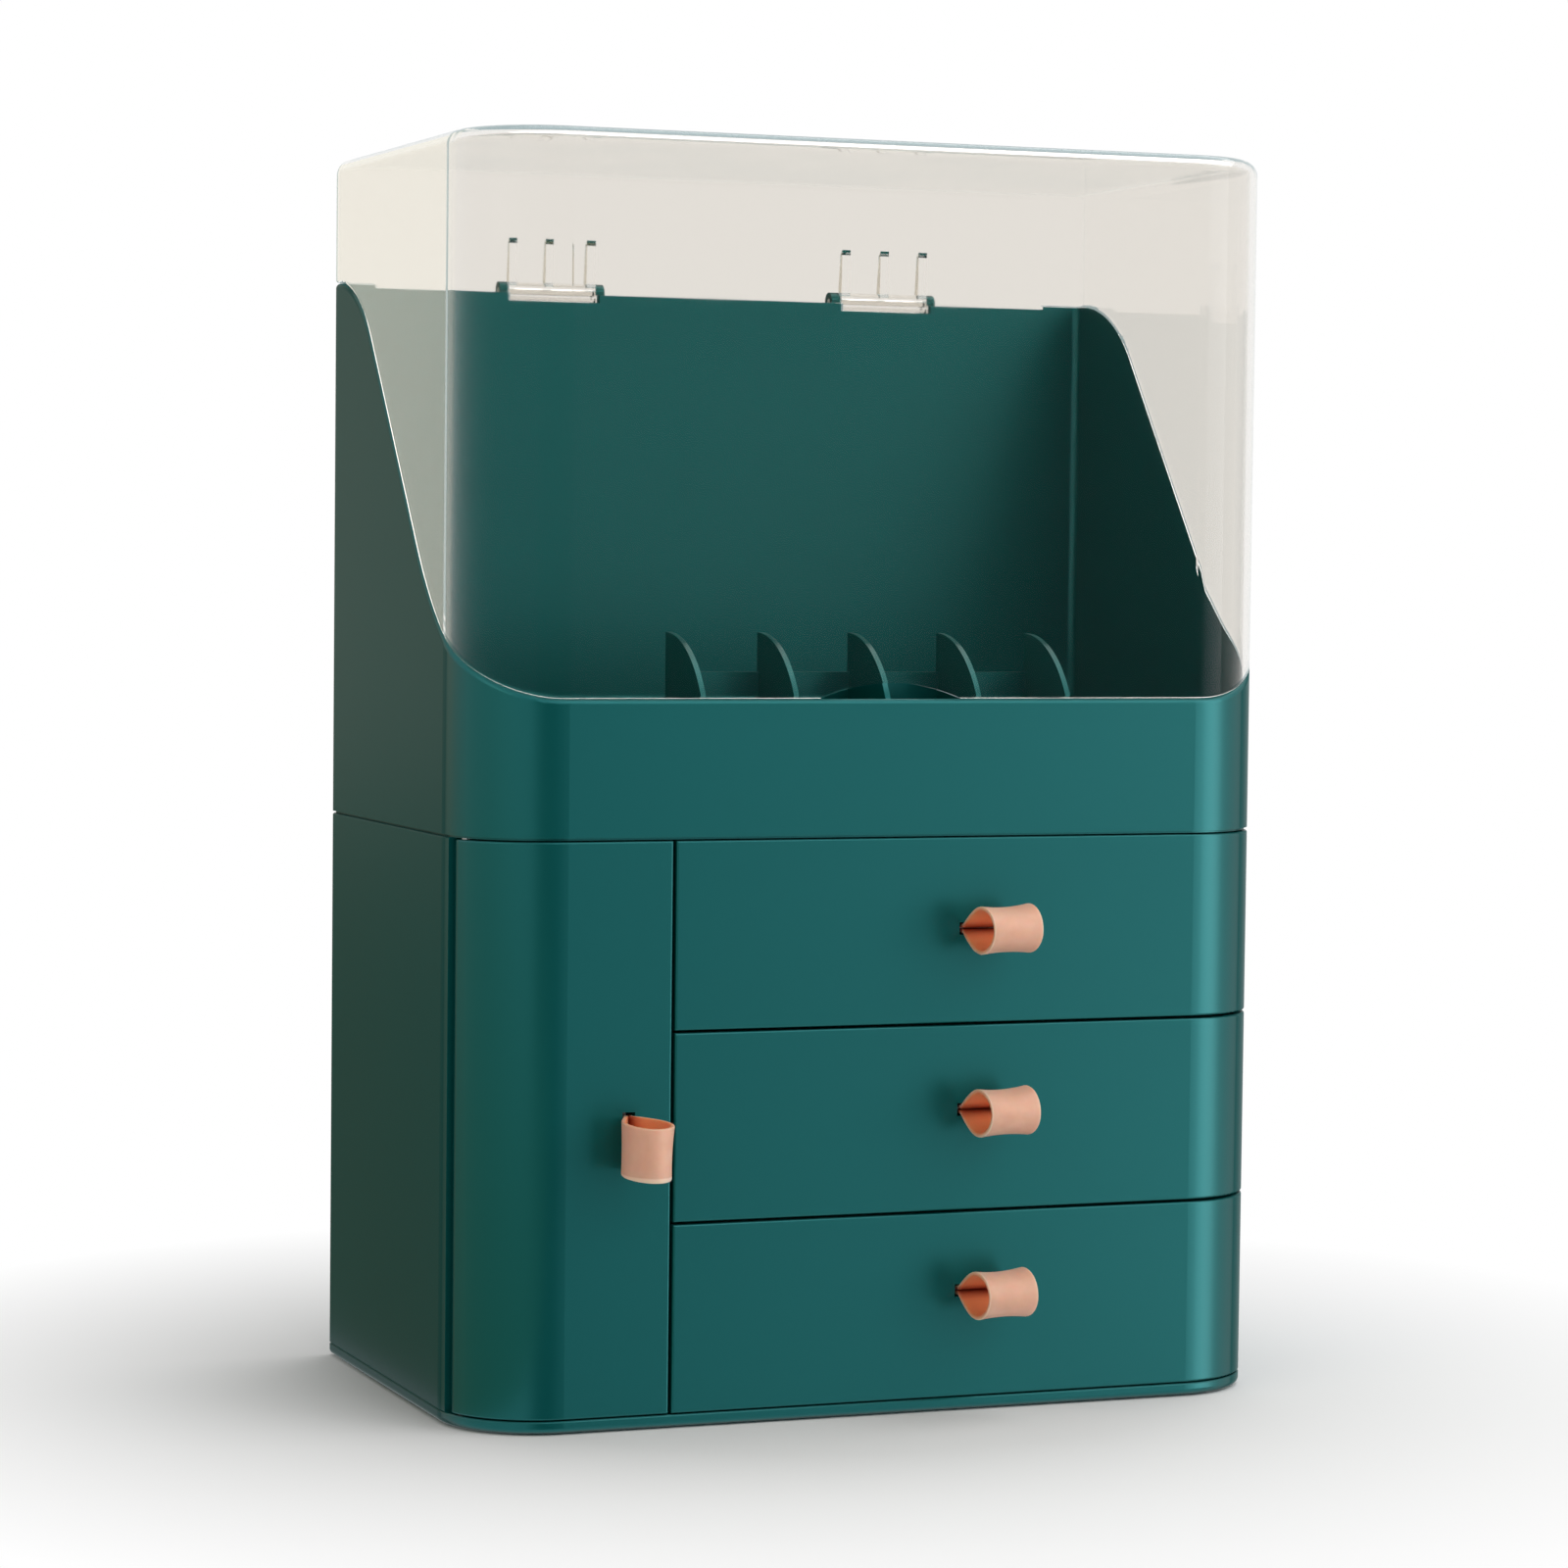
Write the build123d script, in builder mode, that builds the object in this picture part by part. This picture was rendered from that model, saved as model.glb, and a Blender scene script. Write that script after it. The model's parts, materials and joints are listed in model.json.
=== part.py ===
from build123d import *
from math import acos, asin, atan2, cos, degrees, hypot, radians, sin, tan
import os

os.makedirs("parts", exist_ok=True)

# Makeup organizer: a cabinet with a door and three drawers, a tray with a sloping rim
# on top of it, and a clear hood hinged to the tray's back wall.
# Millimetres. X runs to the right, Y to the back and Z up. The origin is the middle of the
# footprint, on the surface that the organizer stands on.

# Body
body_width = 260.0
body_depth = 152.0
front_corner_radius = 29.5
back_corner_radius = 4.5
wall = 2.2
edge_round = 0.6
seam_chamfer = 0.4

# Base
pad_stand = 0.6
pad_recess = 0.8
pad_radius = 7.0
pad_inset = 22.0
pad_back_inset = 11.0
base_thickness = 3.6
base_edge_round = 1.8

# Cabinet
drawer_pitch = 56.5
floor_thickness = 2.0
partition_thickness = 2.0
front_gap = 0.8
door_gap = 1.0
door_width = 61.8
side_seam_depth = 23.4
side_seam_gap = 0.6
front_inset = 7.0
carcass_setback = 10.8

# Tray
tray_floor = 2.2
tray_seam_gap = 0.7
tray_seam_depth = 1.0
front_rim_rise = 41.0
back_rim_rise = 167.3
rim_flat = 1.4
rim_start_radius = 4.0
rim_bend_depth = 43.5
rim_low_slope = 31.0
rim_high_slope = 51.5
rim_bend_radius = 125.0
rim_crown_radius = 50.0
rim_edge_round = 1.6
back_rim_drop = 1.0
back_rim_end = 15.0
peg_radius = 2.5
peg_length = 8.0
peg_fit = 0.1
socket_radius = 4.5
socket_height = 12.0
socket_inset = 4.0
socket_depth = 36.0

# Lipstick rack
rack_cells = 4
rack_pitch = 29.3
rack_wall = 1.6
rack_fin_rise = 19.0
rack_fin_radius = 36.0
rack_fin_slope = 62.0
rack_back_height = 46.0
rack_clearance = 0.4

# Hood
hood_wall = 2.2
hood_rise = 39.0
hood_top_round = 5.0
hood_gap = 0.1
hood_edge_round = 1.0
grip_width = 46.0
grip_height = 4.8

# Hood hinges
hinge_offset = 58.0
hinge_axis_back = 3.5
hinge_axis_drop = 0.6
hinge_barrel_radius = 3.1
hinge_pin_radius = 1.2
hinge_play = 0.05
hinge_rib_pitch = 13.65
hinge_rib_width = 3.0
hinge_rib_height = 17.0
hinge_rib_top = 1.6
hinge_ear_width = 3.0
hinge_ear_gap = 0.3
hinge_ear_height = 11.0
hinge_notch_depth = 2.5
hinge_notch_gap = 1.0
hinge_heel_reach = 5.3
hinge_heel_width = 2.4
hinge_stop_gap = 0.2
hood_travel = 105.0

# Door
door_skin = 2.2
door_rim = 1.8
door_depth = 6.0
door_pocket_turn = 10.0
door_barrel_radius = 3.2
door_pin_radius = 1.5
door_pin_play = 0.05
door_pin_reach = 7.4
door_pin_seat = 1.6
magnet_rise = 20.3
magnet_size = 5.0
magnet_length = 12.0
magnet_wall = 1.5
magnet_gap = 0.4
strike_thickness = 0.8
strike_margin = 1.0

# Drawers
drawer_names = ("bottom", "middle", "top")
drawer_skin = 2.2
drawer_rim = 1.8
drawer_front_depth = 10.0
box_wall = 1.8
box_floor = 2.0
box_side_gap = 0.8
box_floor_gap = 0.4
box_top_gap = 1.6
box_back_gap = 13.8
box_corner_radius = 20.0
box_back_radius = 3.0
stop_lip_depth = 1.1
stop_lip_width = 12.0
stop_lip_length = 2.0
stop_tab_rise = 1.2
stop_spread = 60.0
drawer_travel = 102.0
drawer_screw_spread = 48.0
drawer_screw_radius = 1.1
drawer_screw_head = 2.4
drawer_screw_head_height = 1.4
drawer_screw_bite = 5.0
drawer_boss_radius = 3.0

# Strap pulls
strap_width = 16.5
strap_thickness = 1.8
pull_reach = 25.0
pull_belly = 14.5
pull_half_height = 7.6
pull_rises = (4.2, 2.4, 0.4)
door_pull_inset = 13.1
door_pull_height = 85.7
slot_clearance = 0.3
clamp_depth = 4.5
clamp_half_height = 6.0
clamp_end = 2.0
clamp_fit = 0.05
pull_pin_radius = 0.8

# Screws in the base
base_screw_radius = 1.3
base_screw_head = 2.8
base_screw_head_height = 1.5
base_screw_bite = 1.6
base_screw_inset = 24.0
base_screw_front_inset = 41.5
recess_depth = 0.8
recess_width = 0.7

# Levels and lines that follow from the sizes above
front_y = -body_depth / 2
back_y = body_depth / 2
side_x = body_width / 2
base_top = pad_stand + base_thickness
drawer_count = len(drawer_names)
cabinet_height = drawer_count * drawer_pitch
tray_bottom = base_top + cabinet_height
front_rim_z = tray_bottom + front_rim_rise
back_rim_z = tray_bottom + back_rim_rise
hood_height = back_rim_z + hood_rise
corner_x = side_x - front_corner_radius
corner_y = front_y + front_corner_radius
seam_y = front_y + side_seam_depth
carcass_front_y = seam_y + side_seam_gap
shelf_front_y = front_y + carcass_setback
door_edge_x = -side_x + door_width
partition_x = door_edge_x + door_gap / 2
drawer_left_x = door_edge_x + door_gap
drawer_mid_x = (drawer_left_x + side_x) / 2
drawer_levels = [base_top + i * drawer_pitch for i in range(drawer_count)]
magnet_height = door_pull_height + magnet_rise
cut = body_width + hood_height


def plan_outline(inset):
    """Plan of the body, moved inwards by inset."""
    with BuildSketch() as plan:
        Rectangle(body_width - 2 * inset, body_depth - 2 * inset)
        fillet(plan.vertices().group_by(Axis.Y)[0], front_corner_radius - inset)
        fillet(plan.vertices().group_by(Axis.Y)[-1], max(back_corner_radius - inset, wall / 2))
    return plan.sketch


def inside_plan():
    """Plan of the space behind the door and the drawer fronts, which the floor fills."""
    with BuildSketch() as plan:
        add(plan_outline(front_inset))
        with Locations((0, shelf_front_y)):
            Rectangle(cut, cut, align=(Align.CENTER, Align.MAX), mode=Mode.SUBTRACT)
        with BuildSketch(mode=Mode.PRIVATE) as room:
            add(plan_outline(wall))
            with Locations((0, carcass_front_y)):
                Rectangle(cut, cut, align=(Align.CENTER, Align.MAX), mode=Mode.SUBTRACT)
        add(room.sketch)
    return plan.sketch


def above_rim(lift):
    """Side view of everything above the tray's rim, with the rim line moved up by lift."""
    start = (front_y + rim_flat, front_rim_z + lift)
    bend_y = front_y + rim_bend_depth
    bend_z = front_rim_z + (rim_bend_depth - rim_flat) * tan(radians(rim_low_slope)) + lift
    crown_y = bend_y + (back_rim_z + lift - bend_z) / tan(radians(rim_high_slope))
    with BuildSketch() as region:
        with BuildLine():
            Polyline(
                (front_y - cut, front_rim_z + lift),
                start,
                (bend_y, bend_z),
                (crown_y, back_rim_z + lift),
                (back_y + cut, back_rim_z + lift),
                (back_y + cut, hood_height + cut),
                (front_y - cut, hood_height + cut),
                close=True,
            )
        make_face()
        foot = region.vertices().sort_by_distance(start)[0]
        fillet(foot, rim_start_radius)
        bend = region.vertices().sort_by_distance((bend_y, bend_z))[0]
        fillet(bend, rim_bend_radius)
        crown = region.vertices().sort_by_distance((crown_y, back_rim_z + lift))[0]
        fillet(crown, rim_crown_radius)
    return region.sketch


outline_wire = plan_outline(0).faces()[0].outer_wire()


def on_outer_face(edge):
    """True for an edge that lies on the outer face of the body."""
    middle = edge @ 0.5
    return outline_wire.distance_to(Vertex(middle.X, middle.Y, 0)) < 0.01


def on_outer_rim(edge):
    """True for an edge of the rim line on the outer face of the body."""
    box = edge.bounding_box()
    return (
        on_outer_face(edge)
        and box.min.Z > front_rim_z - 2 * hood_gap
        and box.max.Z < back_rim_z + 2 * hood_gap
    )


# Base plate
base_screw_spots = [
    (x, y)
    for x in (-side_x + base_screw_inset, 0, side_x - base_screw_inset)
    for y in (front_y + base_screw_front_inset, back_y - base_screw_inset)
]
pad_spots = [(0, 0)] + [
    (x, y)
    for x in (-side_x + pad_inset, side_x - pad_inset)
    for y in (front_y + pad_inset, back_y - pad_back_inset)
]
door_axis_radius = front_corner_radius - door_barrel_radius
door_axis_angle = asin((corner_y + door_barrel_radius - seam_y) / door_axis_radius)
door_axis_x = -corner_x - door_axis_radius * cos(door_axis_angle)
door_axis_y = corner_y - door_axis_radius * sin(door_axis_angle)

with BuildPart() as base_plate:
    with BuildSketch(Plane.XY.offset(pad_stand)):
        add(plan_outline(0))
    extrude(amount=base_thickness)
    fillet(base_plate.faces().sort_by(Axis.Z)[0].outer_wire().edges(), base_edge_round)
    chamfer(base_plate.faces().sort_by(Axis.Z)[-1].outer_wire().edges(), seam_chamfer)
    with Locations(*[Pos(x, y, pad_stand) * Rot(180, 0, 0) for x, y in base_screw_spots]):
        CounterSinkHole(base_screw_radius, base_screw_head, depth=base_thickness)
    with BuildSketch(Plane.XY.offset(pad_stand)):
        with Locations(*pad_spots):
            Circle(pad_radius)
    extrude(amount=pad_recess, mode=Mode.SUBTRACT)
    with BuildSketch(Plane.XY.offset(base_top)):
        with Locations((door_axis_x, door_axis_y)):
            Circle(door_pin_radius)
    extrude(amount=-door_pin_seat, mode=Mode.SUBTRACT)
base_plate.part.label = "base_plate"
export_step(base_plate.part, "parts/base_plate.step")

# Anti-slip pads
with BuildPart() as anti_slip_pads:
    with BuildSketch(Plane.XY):
        with Locations(*pad_spots):
            Circle(pad_radius)
    extrude(amount=pad_stand + pad_recess)
anti_slip_pads.part.label = "anti_slip_pads"
export_step(anti_slip_pads.part, "parts/anti_slip_pads.step")

# Cabinet shell: two side walls, a back wall and a floor, open at the front and the top
socket_front_y = front_y + socket_depth
socket_side_x = side_x - wall - socket_inset
socket_back_y = back_y - wall - socket_inset
shell_sockets = [
    (-socket_side_x, socket_back_y),
    (socket_side_x, socket_back_y),
    (-socket_side_x, socket_front_y),
]
partition_left_x = partition_x - partition_thickness / 2
partition_right_x = partition_x + partition_thickness / 2
partition_socket = (partition_left_x - socket_inset, socket_front_y)

with BuildPart() as cabinet_shell:
    with BuildSketch(Plane.XY.offset(base_top)):
        add(plan_outline(0))
        add(plan_outline(wall), mode=Mode.SUBTRACT)
        with Locations((0, carcass_front_y)):
            Rectangle(cut, cut, align=(Align.CENTER, Align.MAX), mode=Mode.SUBTRACT)
    extrude(amount=cabinet_height)
    rims = cabinet_shell.faces().filter_by(Axis.Z).edges().filter_by(on_outer_face)
    chamfer(rims, seam_chamfer)
    with BuildSketch(Plane.XY.offset(base_top)):
        add(inside_plan())
        with Locations(*base_screw_spots):
            Circle(base_screw_radius, mode=Mode.SUBTRACT)
    extrude(amount=floor_thickness)
    with BuildSketch(Plane.XY.offset(tray_bottom)):
        with Locations(*shell_sockets):
            Circle(socket_radius)
    extrude(amount=-socket_height)
    with BuildSketch(Plane.XY.offset(tray_bottom)):
        with Locations(*shell_sockets):
            Circle(peg_radius + peg_fit)
    extrude(amount=-(peg_length + front_gap), mode=Mode.SUBTRACT)
cabinet_shell.part.label = "cabinet_shell"
export_step(cabinet_shell.part, "parts/cabinet_shell.step")

# Screws that hold the base plate to the cabinet's floor
with BuildPart() as base_screws:
    with Locations(*[Pos(x, y, pad_stand) for x, y in base_screw_spots]):
        Cylinder(
            base_screw_radius,
            base_thickness + base_screw_bite,
            align=(Align.CENTER, Align.CENTER, Align.MIN),
        )
        Cone(
            base_screw_head,
            base_screw_radius,
            base_screw_head_height,
            align=(Align.CENTER, Align.CENTER, Align.MIN),
        )
    with BuildSketch(Plane.XY.offset(pad_stand)):
        with Locations(*base_screw_spots):
            Rectangle(2 * base_screw_radius, recess_width)
            Rectangle(recess_width, 2 * base_screw_radius)
    extrude(amount=recess_depth, mode=Mode.SUBTRACT)
base_screws.part.label = "base_screws"
export_step(base_screws.part, "parts/base_screws.step")

# Partition between the door's bay and the drawers, with the holder of the door's magnet
door_inner_y = front_y + door_depth
magnet_front_y = door_inner_y + magnet_gap
holder_front_y = magnet_front_y + magnet_gap
holder_width = magnet_size + 2 * magnet_wall
strike_half = magnet_size / 2 + strike_margin
holder_x = door_edge_x - door_rim - strike_margin - strike_half
holder_left_x = holder_x - holder_width / 2
holder_depth = carcass_setback - door_depth + 2 * magnet_wall

with BuildPart() as partition:
    with BuildSketch(Plane.XY.offset(base_top + floor_thickness)):
        with Locations((partition_x, (shelf_front_y + back_y - wall) / 2)):
            Rectangle(partition_thickness, back_y - wall - shelf_front_y)
    extrude(amount=cabinet_height - floor_thickness)
    with Locations((holder_left_x, holder_front_y, magnet_height)):
        Box(
            partition_x - holder_left_x,
            holder_depth,
            magnet_length + 2 * magnet_wall,
            align=(Align.MIN, Align.MIN, Align.CENTER),
        )
    with Locations((holder_x, magnet_front_y, magnet_height)):
        Box(
            magnet_size,
            magnet_size,
            magnet_length,
            align=(Align.CENTER, Align.MIN, Align.CENTER),
            mode=Mode.SUBTRACT,
        )
    with BuildSketch(Plane.XY.offset(tray_bottom)):
        with Locations(partition_socket):
            Circle(socket_radius)
    extrude(amount=-socket_height)
    with BuildSketch(Plane.XY.offset(tray_bottom)):
        with Locations(partition_socket):
            Circle(peg_radius + peg_fit)
    extrude(amount=-(peg_length + front_gap), mode=Mode.SUBTRACT)
partition.part.label = "partition"
export_step(partition.part, "parts/partition.step")

# Magnet that holds the door shut
with BuildPart() as door_magnet:
    with Locations((holder_x, magnet_front_y, magnet_height)):
        Box(
            magnet_size,
            magnet_size,
            magnet_length,
            align=(Align.CENTER, Align.MIN, Align.CENTER),
        )
door_magnet.part.label = "door_magnet"
export_step(door_magnet.part, "parts/door_magnet.step")

# Shelves: one under each drawer but the lowest, and one level with each in the door's bay
box_back_y = back_y - wall - box_back_gap
lip_y = box_back_y - drawer_travel - stop_lip_length
for place, level in zip(("lower", "upper"), drawer_levels[1:]):
    with BuildPart() as drawer_shelf:
        with BuildSketch(Plane.XY.offset(level)):
            add(inside_plan())
            with Locations((partition_right_x, 0)):
                Rectangle(cut, cut, align=(Align.MAX, Align.CENTER), mode=Mode.SUBTRACT)
        extrude(amount=floor_thickness)
        for side in (-1, 1):
            with Locations((drawer_mid_x + side * stop_spread, lip_y, level)):
                Box(
                    stop_lip_width,
                    stop_lip_length,
                    stop_lip_depth,
                    align=(Align.CENTER, Align.MAX, Align.MAX),
                )
    drawer_shelf.part.label = f"drawer_shelf_{place}"
    export_step(drawer_shelf.part, f"parts/drawer_shelf_{place}.step")

    with BuildPart() as bay_shelf:
        with BuildSketch(Plane.XY.offset(level)):
            add(inside_plan())
            with Locations((partition_left_x, 0)):
                Rectangle(cut, cut, align=(Align.MIN, Align.CENTER), mode=Mode.SUBTRACT)
        extrude(amount=floor_thickness)
    bay_shelf.part.label = f"bay_shelf_{place}"
    export_step(bay_shelf.part, f"parts/bay_shelf_{place}.step")

# Tray: floor, low front wall, sloping side walls and high back wall
hinge_axis_y = back_y + hinge_axis_back
back_wall_z = back_rim_z - back_rim_drop
hinge_axis_z = back_wall_z + hinge_axis_drop
barrel_half = hinge_rib_pitch + hinge_rib_width / 2
ear_start = barrel_half + hinge_ear_gap
notch_half = barrel_half + hinge_notch_gap
hinge_spots = (-hinge_offset, hinge_offset)
flat_back_half = side_x - back_rim_end

with BuildPart() as tray_shell:
    with BuildSketch(Plane.XY.offset(tray_bottom)):
        add(plan_outline(0))
    extrude(amount=back_rim_rise)
    with BuildSketch(Plane.XY.offset(tray_bottom + tray_floor)):
        add(plan_outline(wall))
    extrude(amount=back_rim_rise, mode=Mode.SUBTRACT)
    with BuildSketch(Plane.XY.offset(tray_bottom)):
        add(plan_outline(0))
        add(plan_outline(tray_seam_depth), mode=Mode.SUBTRACT)
    extrude(amount=tray_seam_gap, mode=Mode.SUBTRACT)
    with BuildSketch(Plane.YZ):
        add(above_rim(0))
    extrude(amount=body_width, both=True, mode=Mode.SUBTRACT)
    fillet(tray_shell.edges().filter_by(on_outer_rim), rim_edge_round)
    with BuildSketch(Plane.XZ.offset(-back_y)):
        with Locations((0, back_wall_z)):
            Rectangle(2 * flat_back_half, cut, align=(Align.CENTER, Align.MIN))
        with Locations(*[(x, back_wall_z - hinge_notch_depth) for x in hinge_spots]):
            Rectangle(2 * notch_half, cut, align=(Align.CENTER, Align.MIN))
    extrude(amount=2 * wall, mode=Mode.SUBTRACT)
    with BuildSketch(Plane.XY.offset(front_rim_z)):
        with Locations((0, front_y)):
            Rectangle(2 * corner_x, wall, align=(Align.CENTER, Align.MIN))
    extrude(amount=2 * wall, mode=Mode.SUBTRACT)
    for x in hinge_spots:
        for side in (-1, 1):
            ear_x = x + side * (ear_start + hinge_ear_width / 2)
            with BuildSketch(Plane.YZ.offset(ear_x)) as ear:
                with BuildLine():
                    Polyline(
                        (back_y - wall / 2, back_wall_z),
                        (back_y - wall / 2, hinge_axis_z - hinge_ear_height),
                        (back_y, hinge_axis_z - hinge_ear_height),
                        (hinge_axis_y + hinge_barrel_radius, hinge_axis_z - hinge_barrel_radius),
                        (hinge_axis_y + hinge_barrel_radius, back_wall_z),
                        close=True,
                    )
                make_face()
                with Locations((hinge_axis_y, hinge_axis_z)):
                    Circle(hinge_barrel_radius)
            extrude(amount=hinge_ear_width / 2, both=True)
    with BuildSketch(Plane.YZ):
        with Locations((hinge_axis_y, hinge_axis_z)):
            Circle(hinge_pin_radius)
    extrude(amount=body_width, both=True, mode=Mode.SUBTRACT)
    with BuildSketch(Plane.XY.offset(tray_bottom)):
        with Locations(*shell_sockets, partition_socket):
            Circle(peg_radius)
    extrude(amount=-peg_length)
    for side in (-1, 1):
        with Locations((drawer_mid_x + side * stop_spread, lip_y, tray_bottom)):
            Box(
                stop_lip_width,
                stop_lip_length,
                stop_lip_depth,
                align=(Align.CENTER, Align.MAX, Align.MAX),
            )
    with BuildSketch(Plane.XY.offset(tray_bottom)):
        with Locations((door_axis_x, door_axis_y)):
            Circle(door_pin_radius)
    extrude(amount=door_pin_seat, mode=Mode.SUBTRACT)
tray_shell.part.label = "tray_shell"
export_step(tray_shell.part, "parts/tray_shell.step")

# Lipstick rack: a floor, a low back panel and one fin beside each cell
rack_front_y = front_y + wall + rack_clearance
rack_depth = rack_fin_radius * sin(radians(rack_fin_slope))
rack_back_y = rack_front_y + rack_depth
rack_floor_z = tray_bottom + tray_floor
rack_half = rack_cells * rack_pitch / 2 + rack_wall / 2
fin_top_z = front_rim_z + rack_fin_rise

with BuildPart() as lipstick_rack:
    with BuildSketch(Plane.XY.offset(rack_floor_z)):
        with Locations((0, rack_front_y)):
            Rectangle(2 * rack_half, rack_depth, align=(Align.CENTER, Align.MIN))
    extrude(amount=rack_wall)
    with BuildSketch(Plane.XY.offset(rack_floor_z)):
        with Locations((0, rack_back_y)):
            Rectangle(2 * rack_half, rack_wall, align=(Align.CENTER, Align.MAX))
    extrude(amount=rack_back_height)
    for i in range(rack_cells + 1):
        fin_x = (i - rack_cells / 2) * rack_pitch
        with BuildSketch(Plane.YZ.offset(fin_x)):
            with BuildLine():
                crest = CenterArc(
                    (rack_back_y, fin_top_z - rack_fin_radius),
                    rack_fin_radius,
                    90,
                    rack_fin_slope,
                )
                Polyline(
                    crest @ 1,
                    (rack_front_y, rack_floor_z),
                    (rack_back_y, rack_floor_z),
                    crest @ 0,
                )
            make_face()
        extrude(amount=rack_wall / 2, both=True)
lipstick_rack.part.label = "lipstick_rack"
export_step(lipstick_rack.part, "parts/lipstick_rack.step")

# Hood: clear cover whose lower edge follows the tray's rim, with two hinge lugs at the back.
# Under each lug a heel turns with the hood and meets the tray's back wall at full travel.
hood_bottom = front_rim_z - wall
heel_corner_reach = hypot(hinge_heel_reach, hinge_heel_width / 2)
heel_corner_angle = degrees(atan2(hinge_heel_width / 2, hinge_heel_reach))
heel_stop_angle = degrees(acos((hinge_stop_gap - hinge_axis_back) / heel_corner_reach))
hinge_heel_angle = hood_travel + heel_corner_angle - heel_stop_angle

with BuildPart() as hood_shell:
    with BuildSketch(Plane.XY.offset(hood_bottom)):
        add(plan_outline(0))
    extrude(amount=hood_height - hood_bottom)
    fillet(hood_shell.faces().sort_by(Axis.Z)[-1].edges(), hood_top_round)
    with BuildPart(mode=Mode.PRIVATE) as hollow:
        with BuildSketch(Plane.XY.offset(hood_bottom)):
            add(plan_outline(hood_wall))
        extrude(amount=hood_height - hood_wall - hood_bottom)
        fillet(hollow.faces().sort_by(Axis.Z)[-1].edges(), hood_top_round - hood_wall)
    add(hollow.part, mode=Mode.SUBTRACT)
    with BuildSketch(Plane.YZ):
        with Locations((0, hood_bottom - cut)):
            Rectangle(2 * cut, 3 * cut, align=(Align.CENTER, Align.MIN))
        add(above_rim(hood_gap), mode=Mode.SUBTRACT)
    extrude(amount=body_width, both=True, mode=Mode.SUBTRACT)
    fillet(hood_shell.edges().filter_by(on_outer_rim), hood_edge_round)
    with BuildSketch(Plane.XZ.offset(-back_y)):
        with Locations((0, back_wall_z + hood_gap)):
            Rectangle(
                2 * (flat_back_half - hood_gap),
                back_rim_drop + hood_edge_round,
                align=(Align.CENTER, Align.MIN),
            )
    extrude(amount=wall)
    with BuildSketch(Plane.XZ.offset(-front_y)):
        with BuildLine():
            Line((-grip_width / 2, front_rim_z), (grip_width / 2, front_rim_z))
            ThreePointArc(
                (-grip_width / 2, front_rim_z),
                (0, front_rim_z + grip_height),
                (grip_width / 2, front_rim_z),
            )
        make_face()
    extrude(amount=2 * wall, both=True, mode=Mode.SUBTRACT)
    for x in hinge_spots:
        with BuildSketch(Plane.YZ.offset(x)):
            with Locations((back_y - hood_wall, back_wall_z - hinge_notch_depth + hood_gap)):
                Rectangle(
                    hood_wall,
                    hinge_notch_depth + hinge_rib_width,
                    align=(Align.MIN, Align.MIN),
                )
            with Locations((back_y - hood_wall / 2, hinge_axis_z)):
                Rectangle(
                    hinge_axis_back + hood_wall / 2,
                    hinge_barrel_radius,
                    align=(Align.MIN, Align.CENTER),
                )
            with Locations((hinge_axis_y, hinge_axis_z)):
                Circle(hinge_barrel_radius)
            with Locations(Pos(hinge_axis_y, hinge_axis_z) * Rot(0, 0, hinge_heel_angle)):
                Rectangle(
                    hinge_heel_reach,
                    hinge_heel_width,
                    align=(Align.MIN, Align.CENTER),
                )
        extrude(amount=barrel_half, both=True)
        for i in (-1, 0, 1):
            with BuildSketch(Plane.YZ.offset(x + i * hinge_rib_pitch)):
                with BuildLine():
                    Polyline(
                        (back_y - hood_wall / 2, hinge_axis_z),
                        (hinge_axis_y, hinge_axis_z),
                        (back_y + hinge_rib_top, hinge_axis_z + hinge_rib_height - hinge_rib_top),
                        (back_y, hinge_axis_z + hinge_rib_height),
                        (back_y - hood_wall / 2, hinge_axis_z + hinge_rib_height),
                        close=True,
                    )
                make_face()
            extrude(amount=hinge_rib_width / 2, both=True)
    with BuildSketch(Plane.YZ):
        with Locations((hinge_axis_y, hinge_axis_z)):
            Circle(hinge_pin_radius + hinge_play)
    extrude(amount=body_width, both=True, mode=Mode.SUBTRACT)
hood_shell.part.label = "hood_shell"
export_step(hood_shell.part, "parts/hood_shell.step")

# Hood hinge pins, held by the tray's ears
hood_pin_names = ["hood_hinge_pin_left", "hood_hinge_pin_right"]
for x, pin_name in zip(hinge_spots, hood_pin_names):
    with BuildPart() as hood_pin:
        with BuildSketch(Plane.YZ.offset(x)):
            with Locations((hinge_axis_y, hinge_axis_z)):
                Circle(hinge_pin_radius)
        extrude(amount=ear_start + hinge_ear_width, both=True)
    hood_pin.part.label = pin_name
    export_step(hood_pin.part, f"parts/{pin_name}.step")

# Door: a curved hollow panel with a hinge barrel down its rear edge
door_bottom = base_top + front_gap / 2
door_height = cabinet_height - front_gap
door_pull_x = door_edge_x - door_pull_inset


def door_sector(angle, edge_x):
    """Plan ahead of a line from the corner's centre at angle, and left of edge_x."""
    far_x = -side_x - cut
    far_y = corner_y - (far_x + corner_x) * -tan(angle)
    with BuildSketch() as sector:
        with BuildLine():
            Polyline(
                (-corner_x, corner_y),
                (far_x, far_y),
                (far_x, front_y - 2 * cut),
                (edge_x, front_y - 2 * cut),
                (edge_x, corner_y),
                close=True,
            )
        make_face()
    return sector.sketch


strike_boss_depth = door_depth - door_skin - strike_thickness
pocket_angle = door_axis_angle + radians(door_pocket_turn)

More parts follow.
